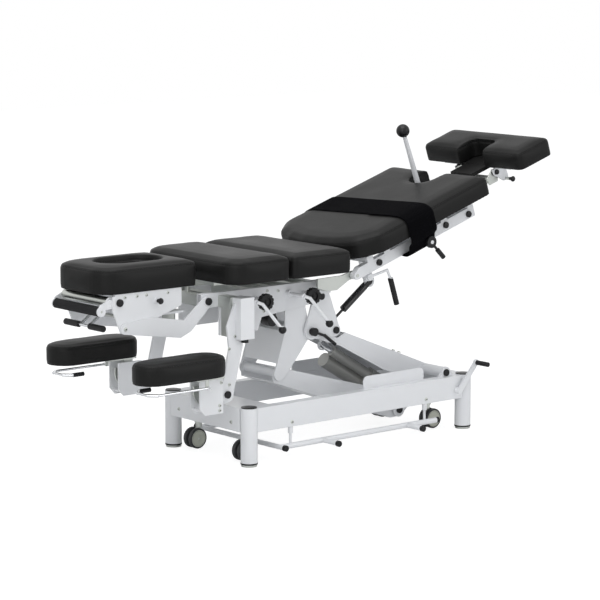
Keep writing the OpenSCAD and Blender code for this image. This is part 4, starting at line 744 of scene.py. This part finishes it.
# ---- Arm rests: long cushions on tilting stems, each with a bent squeeze handle ----
# Plated stems with a slotted quarter disc, chrome rod handles with a short black grip.
for side in ("near", "far"):
    upholster("rest_pad_" + side, "rest_" + side, 0.061, voxel=0.004)
dress(zinc_plate, "rest_stem_near", "rest_stem_far")
rest_grip_y, rest_grip_x = 0.2032, -0.4548
dress(zoned("rest handle and grip", chrome, black_grip,
            [[("ay", "<", rest_grip_y), ("x", ">", rest_grip_x + shift_x)]]), "rest_handle_near", "rest_handle_far")

# ---- Leg section: a sloping white frame with its cushion, a gas strut, handles and the flexion lever ----
# Lengths here run along the slope from the hinge; the rails carry black screw caps on their outer faces.
slope, hinge_x, hinge_z = math.radians(18), 515, 622


def leg_point(u, y, w):
    """A point u along the slope from the hinge and w square to it, in the source's millimetres."""
    return (hinge_x + u * math.cos(slope) - w * math.sin(slope), y,
            hinge_z + u * math.sin(slope) + w * math.cos(slope))


dress(white_coat, "leg_frame")
leg_cover = upholster("leg_pad", "leg_section", 0.060, tilt=slope, voxel=0.0055)
leg_rail_y = 202
for i, (u, w) in enumerate(((109, 6), (456, 9), (576, 3))):
    for side, y, way in (("near", -leg_rail_y, near), ("far", leg_rail_y, far)):
        dome_cap(f"leg_rail_cap_{i}_{side}", "leg_section", leg_point(u, y, w), way, 12, 8)
gas_black = finish("gas strut lacquer", (0.008, 0.008, 0.009), 0.28, coat=0.2, grain=300, bump=0.02, shine=0.4)
dress(gas_black, "gas_tube", "gas_rod")
release_grip_z, flexion_ball_d = 0.5955, 0.0485
dress(zoned("release handle and grip", white_coat, black_grip, [[("z", "<", release_grip_z)]]), "leg_handle")
flexion_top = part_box("flexion_lever")[1].z
dress(zoned("flexion lever and ball", white_coat, black_plastic, [[("z", ">", flexion_top - flexion_ball_d)]]),
      "flexion_lever")

# ---- Strap: a wide black webbing belt over the leg cushion, doubled on its near part, with a cam lever ----
# It is one band of ribbed webbing from behind the near cam to the far rail. A second, narrower layer is sewn
# over its near part, and the cam and its lever are black moulded plastic.
webbing = finish("black webbing", (0.0025, 0.0025, 0.0032), 0.9, grain=300, bump=0.2, edge=0, shine=0.03)
weave_tree = webbing.node_tree
ribs = weave_tree.nodes.new("ShaderNodeTexWave")
ribs.bands_direction = "Y"
ribs.inputs["Scale"].default_value = 220.0
ribs_place = weave_tree.nodes.new("ShaderNodeUVMap")
ribs_place.uv_map = "along"
weave_tree.links.new(ribs_place.outputs[0], ribs.inputs["Vector"])
rib_rise = weave_tree.nodes.new("ShaderNodeBump")
rib_rise.inputs["Strength"].default_value = 0.5
rib_rise.inputs["Distance"].default_value = 0.0006
weave_tree.links.new(ribs.outputs["Fac"], rib_rise.inputs["Height"])
weave_tree.links.new(rib_rise.outputs["Normal"], weave_tree.nodes["Bump"].inputs["Normal"])
strap_u0, strap_u1, strap_skew, pad_half = 207.5, 335.5, 24.5, 268
strap_steps, fray, ripple = 6, 1.2, 1.2


def strap_line():
    """The belt's line across the table (y, height over the hinge line), from behind the near cam to the far
    rail, as a smooth curve through the chosen points."""
    over_pad = [(267.5, 50), (268.0, 62), (267.8, 80), (267.5, 100), (266, 110), (261, 117), (250, 121.5),
                (230, 126), (195, 131), (120, 135.5), (60, 137), (0, 137.3)]
    near_foot = [(203, -12), (224, -14), (238, -8), (243, 8), (249, 24), (262, 37)]
    far_foot = [(204.5, 15), (240, 31), (262, 39)]
    line = [(-y, w) for y, w in near_foot + over_pad] + [(y, w) for y, w in (far_foot + over_pad)[-2::-1]]
    smooth = []
    for i in range(len(line) - 1):
        p0, p1, p2, p3 = line[max(0, i - 1)], line[i], line[i + 1], line[min(len(line) - 1, i + 2)]
        for k in range(strap_steps):
            t = k / strap_steps
            smooth.append(tuple(0.5 * ((2 * b) + (c - a) * t + (2 * a - 5 * b + 4 * c - d) * t * t
                                       + (3 * b - a - 3 * c + d) * t ** 3) for a, b, c, d in zip(p0, p1, p2, p3)))
    smooth.append(line[-1])
    return smooth


def belt(name, line, u0, u1, rows, thick, lift, wobble):
    """A band of cloth that follows the line, laid on the leg cushion and given its thickness outwards."""
    mesh = bpy.data.meshes.new(name)
    verts, faces = [], []
    for i, (y, w) in enumerate(line):
        a, b = line[max(0, i - 1)], line[min(len(line) - 1, i + 1)]
        run = Vector((b[0] - a[0], b[1] - a[1])).normalized()
        out = Vector((-run.y, run.x))
        for k in range(rows + 1):
            share = k / rows
            wave = wobble * (math.sin(i * 0.31 + share * 2.1) + 0.6 * math.sin(i * 0.17 - share * 5.3))
            off = lift + wave - fray * (abs(share - 0.5) * 2) ** 8
            u = u0 + (u1 - u0) * share - strap_skew * y / pad_half + ripple * math.sin(i * 0.11)
            verts.append(placed(leg_point(u, y + out.x * off, w + out.y * off)))
    n = rows + 1
    for i in range(len(line) - 1):
        for k in range(rows):
            faces.append((i * n + k, i * n + k + 1, (i + 1) * n + k + 1, (i + 1) * n + k))
    mesh.from_pydata(verts, [], faces)
    along = mesh.uv_layers.new(name="along")
    for loop in mesh.loops:
        i, k = divmod(loop.vertex_index, n)
        along.data[loop.index].uv = (i * 0.006, k / rows * (u1 - u0) / 1000)
    piece = bpy.data.objects.new(name, mesh)
    scene.collection.objects.link(piece)
    hug = piece.modifiers.new("lie on", "SHRINKWRAP")
    hug.target, hug.wrap_method, hug.wrap_mode = leg_cover, "NEAREST_SURFACEPOINT", "OUTSIDE"
    hug.offset = 0.0006 + lift / 1000
    made_plain(piece)
    piece.data.materials.clear()
    piece.data.materials.append(webbing)
    wall = piece.modifiers.new("thickness", "SOLIDIFY")
    wall.thickness, wall.offset = thick / 1000, 1
    rounding = piece.modifiers.new("edges", "BEVEL")
    rounding.width, rounding.segments, rounding.limit_method = 0.0007, 2, "ANGLE"
    made_plain(piece)
    piece.data.shade_smooth()
    piece.data.set_sharp_from_angle(angle=0.9)
    return piece


full = strap_line()
overlap_y, overlap_u0, overlap_u1 = -70, strap_u0 - 6, strap_u1 - 26
strap_piece = belt("strap_belt", full, strap_u0, strap_u1, 10, 2.2, 0.2, 0.25)
double = [p for p in full if p[0] < overlap_y]
strap_over = belt("strap_overlap", double, overlap_u0, overlap_u1, 8, 2.0, 3.0, 0.35)
for piece in (strap_piece, strap_over):
    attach(piece, "leg_section")
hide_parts("strap")
dress(black_plastic, "buckle")

# ---- Foot section: a yoke on two plated rods, a tilting plate and a notched cushion ----
# The plate is white-coated sheet, and the board in the middle of it is covered with the cushion's vinyl. A
# pull knob locks the tilt, and black caps cover the two pivot bolts.
board_half = 0.1
dress(zinc_plate, "foot_slide")
dress(zoned("foot plate and covered board", white_coat, vinyl, [[("ay", "<", board_half)]]), "foot_plate")
upholster("foot_pad", "foot_section", 0.060, tilt=slope, voxel=0.0045)
lock_u, lock_w, pivot_u, pivot_w, yoke_y = 889, 14, 847, 56, 104
pull_knob("foot_lock_knob", "foot_plunger", "foot_plunger", leg_point(lock_u, -124, lock_w), 6, 11, 21)
turned("foot_lock_pin", "foot_plunger", [(0, 0), (0, 5), (8, 5), (8, 6), (28, 6), (28, 0)],
       leg_point(lock_u, -96.5, lock_w), near, zinc_plate)
for side, y, way in (("near", -yoke_y, near), ("far", yoke_y, far)):
    dome_cap("foot_pivot_cap_" + side, "foot_slide", leg_point(pivot_u, y, pivot_w), way, 10, 6)
